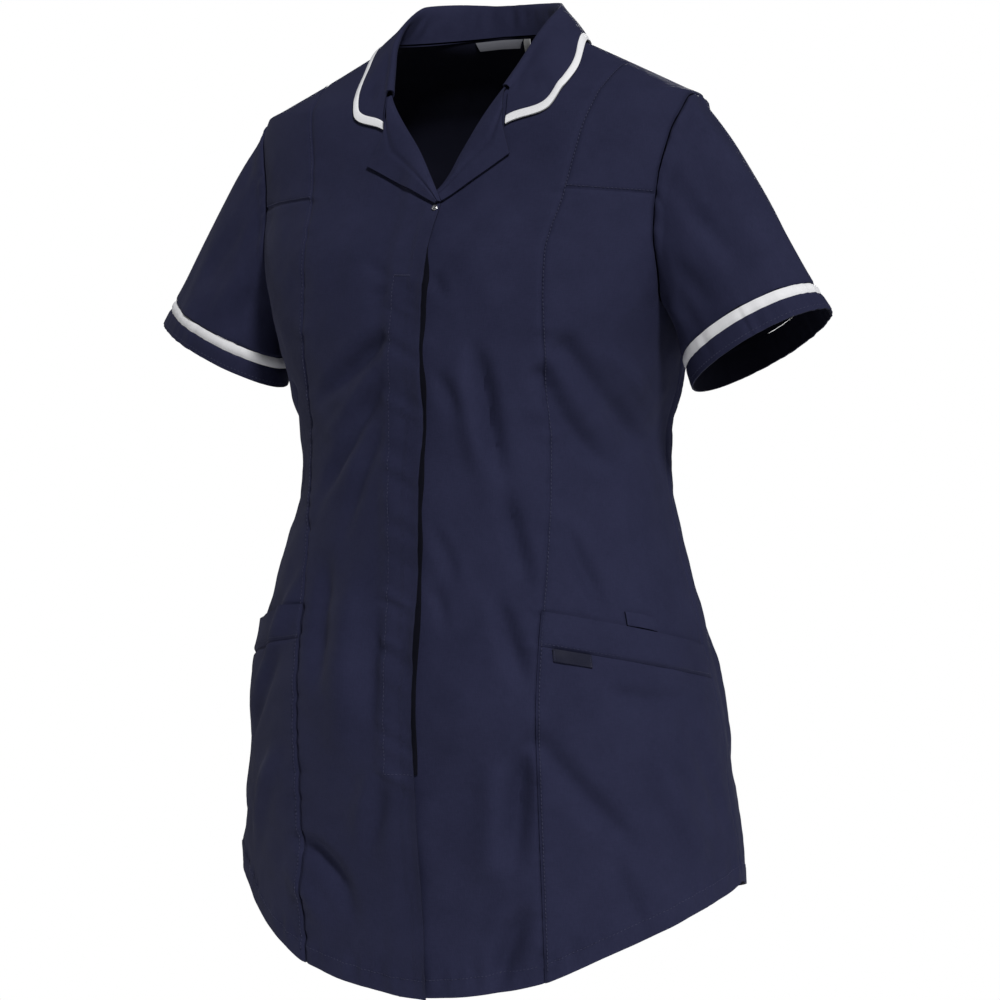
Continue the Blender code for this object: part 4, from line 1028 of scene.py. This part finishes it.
def armhole_ring(side):
    """Points of the armhole from the shoulder down the front, then up the back, and their outward normals."""
    low = row_number("underarm")
    heights = row_heights("side")[low:]
    front, back = (armhole_angles(side, half)[low:] for half in ("front", "back"))
    angles = np.concatenate((front[::-1], back[1:-1]))
    heights = np.concatenate((heights[::-1], heights[1:-1]))
    normals = body_normal(angles, heights)
    return wall_point(angles, heights) - SEAM_DIP * normals, normals


SLEEVE_STRIP = 0.009  # the seam allowance lies under the sleeve's head this far from the armhole
SLEEVE_ROUND = 0.053  # a sleeve's radius, for the widths of its creases


def sleeve_rows(side):
    """Rings of points from the armhole to where the piping starts, then on to the cuff's edge."""
    armhole, normals = armhole_ring(side)
    turns = ring_turns(armhole)
    band, edge = sleeve_ring(side, "band", turns), sleeve_ring(side, "edge", turns)
    run = band - armhole
    start, finish = run + SLEEVE_PUFF * normals, run - 0.3 * SLEEVE_PUFF * normals
    rows = []
    for t in stations(SLEEVE_RUN):
        rise = t * t * (3 - 2 * t)
        rows.append(armhole + run * rise + start * t * (1 - t) ** 2 + finish * t * t * (t - 1))
    upper = len(rows)
    piping_share = PIPING_SLEEVE / (PIPING_SLEEVE + CUFF_BAND)
    piping = stations(PIPING_SLEEVE, step=0.0015) * piping_share
    cuff = piping_share + (1 - piping_share) * stations(CUFF_BAND, step=0.0022)
    for share in np.concatenate((piping, cuff)):
        rows.append(band + (edge - band) * share)
    return np.array(rows), turns, upper, upper + len(piping)


def sleeve_relief(side, turns, rows, upper):
    """Creases, the strip along the armhole and small puckers of a sleeve."""
    along = lengths_over(rows, 0)
    share = along / along[upper - 1]
    turn = np.broadcast_to(turns, along.shape)
    total = np.zeros(along.shape)
    for name, t1, s1, t2, s2, t3, s3, half_wide, depth in SLEEVE_CREASES:
        if name != side:
            continue
        across = wrap(turn - np.radians(t1)) * SLEEVE_ROUND
        places = [(np.radians(t - t1) * SLEEVE_ROUND, s * SLEEVE_RUN) for t, s in ((t1, s1), (t2, s2), (t3, s3))]
        total += crease(across, share * SLEEVE_RUN, places, half_wide, depth, 0)
    seed = 31 if side == "left" else 41
    total += waves(turn, along, 0.0008, 0.16, seed) + waves(turn, along, 0.00030, 0.070, seed + 1)
    fade = ease(share / 0.08)
    total = total * np.where(share < 1, fade, 0.35)
    strip = 0.0020 * ease(along / 0.0025) * (1 - ease((along - SLEEVE_STRIP) / 0.0022))
    upper_half = ease((np.cos(turn) + 0.55) / 0.5)
    total += strip * upper_half * (1 + 0.25 * ripples(turn * SLEEVE_ROUND, 0.013, seed + 2))
    edge = np.exp(-(((share - 1.12) / 0.16) ** 2))
    return total + 0.00045 * edge * ripples(turn * 0.0637, 0.0125, seed + 3)


def creased_sleeve(side):
    """A sleeve's rings with their relief, the plain rings' normals, and the turns and row numbers that go with them."""
    rows, turns, upper, lower = sleeve_rows(side)
    normals = ring_normals(rows)
    return rows + normals * sleeve_relief(side, turns, rows, upper)[..., None], normals, turns, upper, lower


def build_sleeves():
    for side in ("left", "right"):
        rows, _, turns, upper, lower = creased_sleeve(side)
        normals = ring_normals(rows)
        grain = np.broadcast_to(turns * SLEEVE_ROUND, rows.shape[:2]), lengths_over(rows, 0)
        both = ("first row", "last row")
        pieces = (
            (f"sleeve_{side}", 0, upper, NAVY, "navy_twill", WALL, both, 0.0),
            (f"cuff_piping_{side}", upper, lower, WHITE, "white_piping", DOUBLE_WALL, both, 0.0005),
            (f"cuff_{side}", lower, len(rows), NAVY, "navy_twill", DOUBLE_WALL, ("first row",), 0.0002),
        )
        for name, low, high, surface, slot, wall, edges, crown in pieces:
            part, facing = rows[low:high], normals[low:high]
            bulge = crown * np.sin(np.pi * np.linspace(0, 1, high - low))[:, None]
            dip = seam_dip(part, edges) * (0.5 if crown else 1.0)
            outer = part + facing * (dip + bulge)[..., None]
            weave = tuple(part_grain[low:high] for part_grain in grain)
            piece = wall_between(f"{name}_cloth", outer, part - facing * wall, surface, True, weave)
            if surface is WHITE:  # the seam allowances and the turned cuff line it
                piece.data.materials.append(NAVY)
                quads = (high - low - 1) * rows.shape[1]
                lined = np.zeros(len(piece.data.polygons), np.int32)
                lined[quads : 2 * quads] = 1
                piece.data.polygons.foreach_set("material_index", lined)
            yield settle(piece, slot, name)


# ---------------------------------------------------------------- collar and revers


def cuff_frame(side, ring):
    """Centre and the width and depth half axes of a sleeve ring."""
    sign = SIGNS[side]
    row = next(row for row in SLEEVES if row[:2] == (side, ring))
    x, y, z, half_wide, half_deep, lean, tip = row[2:]
    lean, tip = np.radians((lean, tip))
    outward = np.array([sign * np.cos(lean), 0.0, np.sin(lean)])
    down = np.array([sign * np.sin(lean), 0.0, -np.cos(lean)])
    forward = -np.cos(tip) * np.array([0.0, 1.0, 0.0]) - np.sin(tip) * down
    return np.array([sign * x, y, z]), outward * half_wide, forward * half_deep


def sleeve_ring(side, ring, turns):
    centre, outward, forward = cuff_frame(side, ring)
    return centre + np.cos(turns)[:, None] * outward + np.sin(turns)[:, None] * forward


def ring_turns(points):
    """A half turn for the front of a ring and one for the back, by length along each."""
    half = len(points) // 2
    lengths = np.linalg.norm(np.roll(points, -1, axis=0) - points, axis=1)
    front = np.concatenate(([0.0], np.cumsum(lengths[:half])))
    back = np.concatenate(([0.0], np.cumsum(lengths[half:])))
    return np.concatenate((front[:-1] / front[-1], 1 + back[:-1] / back[-1])) * np.pi


def ring_normals(rows):
    """Outward normals of a tube given as rings of points."""
    along = np.gradient(rows, axis=0)
    around = np.roll(rows, -1, axis=1) - np.roll(rows, 1, axis=1)
    normals = unit(np.cross(around, along))
    centre = rows.mean(axis=1, keepdims=True)
    facing = np.sign(np.einsum("ijk,ijk->ij", normals, rows - centre).sum())
    return normals * facing


def neck_places(along, side):
    """Angle and height of the neck edge: 0 at the centre back, 1 at the collar's front end."""
    sign = SIGNS[side]
    on_back = along < NECK_POINT_ALONG
    turn = np.clip(along / NECK_POINT_ALONG, 0, 1)
    back_angle = np.pi - turn * np.pi / 2
    back_height = ROWS[-1][5] * (1 - turn**2)
    front_share = np.clip((along - NECK_POINT_ALONG) / (1 - NECK_POINT_ALONG), 0, 1)
    front_height = GORGE_Z * front_share**1.15
    front_angle = angle_at(abs(neck_x[side](front_height)), front_height)
    angle = sign * np.where(on_back, back_angle, front_angle)
    return angle, np.where(on_back, back_height, front_height)


def height_under(x, y):
    """The height of the body's surface below a place in plan, found by halving."""
    low, high = np.full(np.shape(x), -0.200), np.full(np.shape(x), BODY[-1][0])
    for _ in range(30):
        middle = (low + high) / 2
        line = side_y(middle)
        depth = np.where(y < line, line - front_y(middle), back_y(middle) - line)
        power = roundness(middle)
        outside = (abs(x) / half_width(middle)) ** power + (abs(y - line) / depth) ** power > 1
        low, high = np.where(outside, low, middle), np.where(outside, middle, high)
    return low


def place_under(x, y):
    """Angle and height on the body's surface of a place in plan."""
    height = height_under(x, y)
    line = side_y(height)
    depth = np.where(y < line, line - front_y(height), back_y(height) - line)
    return np.arctan2(x / half_width(height), (line - y) / depth), height


def raised_clear(points, least):
    """Lifts points that come closer to the body's surface than the least distance."""
    angle, height = place_under(points[..., 0], points[..., 1])
    normal = body_normal(angle, height)
    clearance = ((points - body_point(angle, height)) * normal).sum(axis=-1, keepdims=True)
    return points + normal * np.maximum(0.0, least - clearance)


def collar_rows(side, along):
    """The collar's centre line at places along it: neck seam, stand, roll, fall and outer edge."""
    sign = SIGNS[side]
    first = 2 if side == "left" else 6
    roll_x, roll_z, edge_x, edge_y = (smooth_curve(COLLAR, first + c)(along) for c in range(4))
    roll = np.stack((sign * roll_x, smooth_curve(COLLAR, 1)(along), roll_z), axis=-1)
    neck = neck_places(along, side)
    nudge = 1e-3
    ahead, after = (body_point(*neck_places(np.clip(along + n, 0, 1), side)) for n in (nudge, -nudge))
    inward = unit(np.cross(unit(ahead - after), body_normal(*neck))) * sign
    seam = wall_point(*neck, -WALL / 2) + inward * COLLAR_SEAM_OFFSET
    rest = COLLAR_GAP + DOUBLE_WALL / 2
    edge = wall_point(*place_under(sign * edge_x, edge_y), rest)
    rise = roll - seam
    tall = np.linalg.norm(rise, axis=-1, keepdims=True)
    stand = [seam + rise * share + inward * STAND_HOLLOW * np.sin(np.pi * share) for share in STAND_SHARES]
    radius = np.minimum(ROLL_RADIUS, 0.45 * tall)
    crest = [roll - inward * radius * 0.9, roll - inward * radius * 1.9 - unit(rise) * radius * 0.9]
    belly = FALL_BELLY * tall / np.max(tall)
    fall = []
    for share in FALL_SHARES:
        point = crest[-1] + (edge - crest[-1]) * share - inward * belly * np.sin(np.pi * share)
        fall.append(raised_clear(point, rest))
    return np.array(stand + crest + fall)


def sheet_normals(rows):
    return unit(np.cross(np.gradient(rows, axis=1), np.gradient(rows, axis=0)))


def smooth_section(rows, count):
    """A smooth curve through the section's points, as evenly placed rows."""
    steps = np.linalg.norm(np.diff(rows, axis=0), axis=-1).mean(axis=1)
    run = np.concatenate(([0.0], np.cumsum(steps)))
    slopes = np.gradient(rows, run, axis=0)
    where = np.linspace(0, run[-1], count)
    i = np.clip(np.searchsorted(run, where, side="right") - 1, 0, len(run) - 2)
    step = (run[i + 1] - run[i])[:, None, None]
    t = ((where - run[i]) / (run[i + 1] - run[i]))[:, None, None]
    rise = t * t * (3 - 2 * t)
    curve = rows[i] + (rows[i + 1] - rows[i]) * rise
    return curve + t * (1 - t) ** 2 * step * slopes[i] + t * t * (t - 1) * step * slopes[i + 1]


COLLAR_COLUMNS = 75  # each side of the centre back
COLLAR_SECTION = 46


def build_collar():
    along = np.linspace(0, 1, COLLAR_COLUMNS + 1)
    left, right = collar_rows("left", along), collar_rows("right", along)
    rows = smooth_section(np.concatenate((right[:, :0:-1], left), axis=1), COLLAR_SECTION)
    normals = sheet_normals(rows)
    width, length = lengths_over(rows, 0), lengths_over(rows, 1).mean(axis=0)
    share = width / width[-1:]
    middle = length[-1] / 2
    stand = np.exp(-(((share - 0.17) / 0.085) ** 2))
    at_back = ease((0.30 - abs(length / length[-1] - 0.5)) / 0.12)
    folds = 0.0008 * stand * at_back * ripples(length - middle, 0.019, 51)
    fall = ease((share - 0.45) / 0.2) * (1 - ease((share - 0.80) / 0.12))
    folds = folds + 0.0005 * fall * ripples(length - middle + width * 0.4, 0.055, 52)
    rows = rows + normals * folds[..., None]
    half = DOUBLE_WALL / 2
    to_edge = width[-1:] - width
    split = int(np.argmin(abs(to_edge.mean(axis=1) - PIPING_COLLAR)))
    ends = rows[-1] - rows[split]
    shares = np.linspace(0, 1, 9)[:, None, None]
    wide = np.linalg.norm(ends, axis=-1, keepdims=True)
    root = rows[-1] - ends / wide * PIPING_COLLAR
    edge_normals = unit(normals[-2])
    crown = 0.0004 * np.sin(np.pi * shares)
    piping = root + (rows[-1] - root) * shares + edge_normals * (crown - 0.00035 * (1 - ease(shares / 0.12)))
    fall_rows = np.concatenate((rows[:split], root[None]))
    facing = np.concatenate((normals[:split], normals[split][None]))
    dip = -0.0004 * np.exp(-((lengths_over(fall_rows, 0)[-1:] - lengths_over(fall_rows, 0)) / 0.0016) ** 2)
    outer = fall_rows + facing * (half + dip[..., None])
    navy = wall_between("collar_cloth", outer, fall_rows - facing * half, NAVY)
    yield settle(navy, "navy_twill", "collar")
    white = wall_between("collar_piping_cloth", piping + edge_normals * half, piping - edge_normals * half, WHITE)
    yield settle(white, "white_piping", "collar_piping")


def rever_places(side):
    """Places of a rever: rows from its root on the roll line to its outer edge, columns from gorge to tip."""
    row = next(row for row in REVERS if row[0] == side)
    gorge_x, gorge_z, corner_x, corner_z, tip_x, tip_z, root_end_z = row[1:]
    down = np.linspace(0, 1, REVER_COLUMNS)
    root_z = GORGE_Z - 0.001 + (root_end_z - GORGE_Z) * down
    root_x = neck_x[side](root_z)
    outer_x = np.interp(down, (0, 3 / 7, 1), (gorge_x, corner_x, tip_x))
    outer_z = np.interp(down, (0, 3 / 7, 1), (gorge_z, corner_z, tip_z))
    return root_x, root_z, outer_x, outer_z


REVER_LIFT = (
    # share from the roll line to the outer edge, how far the flap stands off there
    (0.00, 0.0008),
    (0.08, 0.0020),
    (0.30, 0.0028),
    (0.65, 0.0021),
    (1.00, 0.0013),
)
REVER_ROLL = 0.0016
REVER_COLUMNS = 43  # from gorge to tip


def build_revers():
    lift = smooth_curve(REVER_LIFT, 1)
    across = stations(0.075, False, True, 0.0028)
    turns = np.linspace(-np.pi / 2, np.pi / 2, 7)[:-1]
    for side in ("left", "right"):
        sign = SIGNS[side]
        root_x, root_z, outer_x, outer_z = rever_places(side)
        xs = root_x[None] + (outer_x - root_x)[None] * across[:, None]
        heights = root_z[None] + (outer_z - root_z)[None] * across[:, None]
        roll_x = root_x[None] - sign * REVER_ROLL * np.cos(turns)[:, None]
        base = SEAM_GAP + DOUBLE_WALL + lift(across)[:, None]
        down = np.linspace(0, 1, REVER_COLUMNS)[None]
        fold = 0.0012 * np.exp(-(((across[:, None] - 0.55 + 0.25 * down) / 0.07) ** 2))
        roll_out = REVER_ROLL + (base[0] - REVER_ROLL) * ((np.sin(turns) + 1) / 2)[:, None]
        xs = np.concatenate((roll_x, xs))
        heights = np.concatenate((np.repeat(root_z[None], len(turns), axis=0), heights))
        out = np.concatenate((np.repeat(roll_out, REVER_COLUMNS, axis=1), base - fold))
        rise = placket_rise(xs, heights) if side == "right" else 0.0
        piece = panel(f"rever_{side}_cloth", angle_at(xs, heights), heights, NAVY, out + rise, DOUBLE_WALL)
        yield settle(piece, "navy_twill", f"rever_{side}")


# ---------------------------------------------------------------- small things


def build_neck_labels():
    """Labels sewn in at the back neck seam, which hang a little off the back and narrow downwards."""
    labels = ("neck_label", NECK_LABEL, 0.16, GREY_TAPE), ("care_label", CARE_LABEL, 0.0, WHITE_TAPE)
    for name, place, taper, surface in labels:
        x_from, x_to, top, bottom = place
        up = stations(top - bottom, step=0.0012)[:, None]
        shares = stations(x_to - x_from, step=0.0025)[None]
        middle, half = (x_from + x_to) / 2, (x_to - x_from) / 2
        xs = middle + half * (2 * shares - 1) * (1 - taper * (1 - up))
        heights = bottom + (top - bottom) * up + 0 * shares
        angles = np.mod(angle_at(xs, heights, "back"), 2 * np.pi)
        inward = -WALL - TRIM_GAP - LABEL_HANG * (top - heights) + 0.0002 * np.sin(5 * shares) * (1 - up)
        piece = panel(f"{name}_tape", angles, heights, surface, inward, 0.0008)
        yield settle(piece, f"{name}_tape", name)


def build_stud():
    """The snap's cap: a low dome with a rolled rim and a small dimple."""
    profile = ((0.0, 0.60), (0.22, 0.62), (0.40, 0.80), (0.62, 0.96), (0.80, 0.86), (0.90, 0.62), (0.97, 0.66))
    profile += ((1.04, 0.56), (1.08, 0.34), (1.06, 0.08), (1.02, 0.0), (0.0, 0.0))
    x, height = STUD_PLACE
    angle = angle_at(x, height)
    rise = placket_rise(np.array(x), np.array(height))
    normal = body_normal(angle, height)
    base = wall_point(angle, height, rise + TRIM_GAP)
    side = unit(np.cross(normal, (0.0, 0.0, 1.0)))
    up = np.cross(side, normal)
    turns = np.linspace(0, 2 * np.pi, 48, endpoint=False)
    spokes = np.cos(turns)[:, None] * side + np.sin(turns)[:, None] * up
    rings = [base + STUD_RADIUS * r * spokes + normal * h * STUD_HEIGHT for r, h in profile[1:-1]]
    vertices = np.concatenate(rings + [[base + normal * profile[0][1] * STUD_HEIGHT, base]])
    count, last = len(turns), len(profile) - 3
    faces = []
    for ring in range(last):
        for j in range(count):
            k = (j + 1) % count
            faces.append((ring * count + j, ring * count + k, (ring + 1) * count + k, (ring + 1) * count + j)[::-1])
    for j in range(count):
        k = (j + 1) % count
        faces.append((j, k, len(vertices) - 2))
        faces.append((last * count + k, last * count + j, len(vertices) - 1))
    piece = cloth_mesh("snap_stud_cap", vertices, faces, NICKEL, vertices[:, 0], vertices[:, 2])
    yield settle(piece, "snap_metal", "snap_stud")


# ---------------------------------------------------------------- sewing


def along_row(grid, row, up):
    """Places along a named row, a little above it."""
    number = row_number(row)
    return grid[0][number], grid[1][number] + up


def build_stitching():
    body, trim = Stitching(), Stitching()
    # the line that holds the placket, its foot and the bar at its top
    top, foot = -0.207, row_heights("front_edge")[row_number(PLACKET_FOOT_ROW)]
    heights = np.linspace(top, foot, 120)
    xs = np.full(120, PLACKET_STITCH_X)
    rise = placket_rise(xs, heights)
    body.on_body(angle_at(xs, heights), heights, rise)
    xs = np.linspace(PLACKET_STITCH_X, LAP - PLACKET_INSET, 14)
    heights = np.full(14, foot + 0.0006)
    body.on_body(angle_at(xs, heights), heights, placket_rise(xs, heights))
    xs = np.linspace(PLACKET_STITCH_X + 0.0005, PLACKET_STITCH_X + 0.0165, 30)
    for shift in (0.0004, -0.0004):
        heights = np.full(30, top + shift) - 0.02 * (xs - PLACKET_STITCH_X)
        body.on_body(angle_at(xs, heights), heights, placket_rise(xs, heights), pitch=0.0011, length=0.00105)
    for side in ("left", "right"):
        grid, front = side_front_grid(side), front_grid(side)
        inside = slice(6, row_number("shoulder") - 4)
        # beside the princess seam, on the side piece, and above the chest seam
        step = STITCH_INSET / SIDE_FRONT_WIDTH
        angles = grid[0][:, 0] + (grid[0][:, -1] - grid[0][:, 0]) * step
        heights = grid[1][:, 0] + (grid[1][:, -1] - grid[1][:, 0]) * step
        pocket = row_number("pocket edge")
        out = np.where(np.arange(len(angles)) < pocket, SEAM_GAP + DOUBLE_WALL, 0.0)
        body.on_body(angles[inside], heights[inside], out[inside])
        angles, heights = along_row(grid, "chest seam", STITCH_INSET)
        body.on_body(angles[3:-3], heights[3:-3], 0.0)
        # pocket bands: above their seam and along their top edge
        angles, heights = along_row(grid, "band seam", STITCH_INSET)
        body.on_body(angles[2:-2], heights[2:-2], SEAM_GAP + DOUBLE_WALL)
        # hems
        for hem_grid, out in ((grid, SEAM_GAP + WALL), (front, 0.0)):
            angles = hem_grid[0][0][3:-3]
            heights = hem_height(angles) + HEM_TURN
            if hem_grid is front and side == "right":
                out = placket_rise(body_point(angles, heights)[..., 0], heights)
            body.on_body(angles, heights, out)
    angles = back_grid()[0][0]
    body.on_body(angles[3:-3], hem_height(angles[3:-3]) + HEM_TURN, 0.0)
    # the loop's ends and the small label's ends
    for ends, row, low, high, out in (
        (LOOP_ANGLES, "pocket edge", 0.0020, 0.0012 + LOOP_HEIGHT - 0.0008, TRIM_GAP + WALL),
        (POCKET_LABEL_ANGLES, "band seam", -0.0006 - LABEL_HEIGHT + 0.0008, -0.0014, POCKET_LABEL_OUT),
    ):
        for end, inward in ((ends[0], 0.35), (ends[1], -0.35)):
            angle = np.radians(end + inward)
            heights = height_on_row(angle, row) + np.linspace(low, high, 12)
            trim.on_body(np.full(12, angle), heights, out, pitch=0.0016, length=0.0012, radius=0.00022)
    body.piece("body_stitching", THREAD, "navy_twill")
    trim.piece("trim_stitching", THREAD, "navy_twill")
    sleeves = Stitching()
    for side in ("left", "right"):
        rows, normals, *_ = creased_sleeve(side)
        ring = len(rows) - 5
        line, facing = (np.concatenate((v[ring], v[ring][:1])) for v in (rows + normals * 0.0001, normals))
        sleeves.line(line, facing)
    sleeves.piece("cuff_stitching", THREAD, "navy_twill")


# ---------------------------------------------------------------- camera, light and floor

VIEW_TURN = np.radians(25.0)  # the camera stands this far round to the wearer's left
VIEW_DISTANCE = 2.6
EYE_HEIGHT = -0.307
FOCAL = 3.086  # focal length over frame width
PRINCIPAL = (0.477, 0.400)  # where the straight-ahead point falls in the frame
SENSOR = 36.0


def build_camera():
    right = Vector((np.cos(VIEW_TURN), np.sin(VIEW_TURN), 0.0))
    ahead = Vector((-np.sin(VIEW_TURN), np.cos(VIEW_TURN), 0.0))
    camera = bpy.data.objects.new("camera", bpy.data.cameras.new("camera"))
    bpy.context.scene.collection.objects.link(camera)
    frame_axes = Matrix((right, Vector((0.0, 0.0, 1.0)), -ahead)).transposed().to_4x4()
    frame_axes.translation = -ahead * VIEW_DISTANCE + Vector((0.0, 0.0, EYE_HEIGHT))
    camera.matrix_world = frame_axes
    camera.data.lens = FOCAL * SENSOR
    camera.data.sensor_width = SENSOR
    camera.data.shift_x = 0.5 - PRINCIPAL[0]
    camera.data.shift_y = PRINCIPAL[1] - 0.5
    bpy.context.scene.camera = camera
    return right, ahead


LIGHTS = (
    # name, right, ahead, up, strength, angle_deg: where the light comes from, as steps from the garment
    ("key", 0.30, -1.0, 0.95, 2.75, 9.0),
    ("side", 1.0, -0.45, 0.20, 0.40, 30.0),
    ("rear", 0.10, 1.0, 0.32, 1.70, 14.0),
    ("far side", -1.0, 0.55, 0.25, 0.55, 30.0),
)
FLOOR_HEIGHT = -1.30
FLOOR_RADIUS = 2.2
AMBIENT = 0.10


def build_light(right, ahead):
    for name, to_right, forward, up, strength, spread in LIGHTS:
        sun = bpy.data.objects.new(name, bpy.data.lights.new(name, "SUN"))
        bpy.context.scene.collection.objects.link(sun)
        sun.data.energy = strength
        sun.data.angle = np.radians(spread)
        source = right * to_right + ahead * forward + Vector((0.0, 0.0, up))
        sun.rotation_euler = source.to_track_quat("Z", "Y").to_euler()
    world = bpy.data.worlds.new("studio")
    world.use_nodes = True
    bpy.context.scene.world = world
    tree = world.node_tree
    seen, lit = tree.nodes["Background"], tree.nodes.new("ShaderNodeBackground")
    seen.inputs["Color"].default_value = (1.0, 1.0, 1.0, 1.0)
    lit.inputs["Color"].default_value = (0.97, 0.98, 1.0, 1.0)
    lit.inputs["Strength"].default_value = AMBIENT
    path, mixed = tree.nodes.new("ShaderNodeLightPath"), tree.nodes.new("ShaderNodeMixShader")
    tree.links.new(path.outputs["Is Camera Ray"], mixed.inputs[0])
    tree.links.new(lit.outputs[0], mixed.inputs[1])
    tree.links.new(seen.outputs[0], mixed.inputs[2])
    tree.links.new(mixed.outputs[0], tree.nodes["World Output"].inputs["Surface"])


def build_floor():
    turns = np.linspace(0, 2 * np.pi, 96, endpoint=False)
    vertices = [(FLOOR_RADIUS * np.cos(t), FLOOR_RADIUS * np.sin(t), FLOOR_HEIGHT) for t in turns]
    mesh = bpy.data.meshes.new("floor")
    mesh.from_pydata(vertices, [], [tuple(range(96))])
    n = Nodes("pale floor", 0.9)
    tone = n.noise(n.solid_place(), 1.5)
    n.tree.links.new(n.mix(tone, (0.86, 0.86, 0.86, 1.0), (0.88, 0.88, 0.88, 1.0)), n.shader.inputs["Base Color"])
    n.shader.inputs["Emission Color"].default_value = (1.0, 1.0, 1.0, 1.0)
    n.shader.inputs["Emission Strength"].default_value = 0.12
    mesh.materials.append(n.material)
    floor = bpy.data.objects.new("floor", mesh)
    bpy.context.scene.collection.objects.link(floor)


# ---------------------------------------------------------------- building the scene


def main():
    right, ahead = build_camera()
    made = []
    for build in (
        build_fronts, build_placket, build_side_fronts, build_back, build_pockets, build_pocket_trims, build_sleeves,
        build_collar, build_revers, build_neck_labels, build_stud,
    ):
        made += list(build())
    build_stitching()
    build_light(right, ahead)
    build_floor()
    bpy.context.scene.view_settings.view_transform = "Standard"


main()
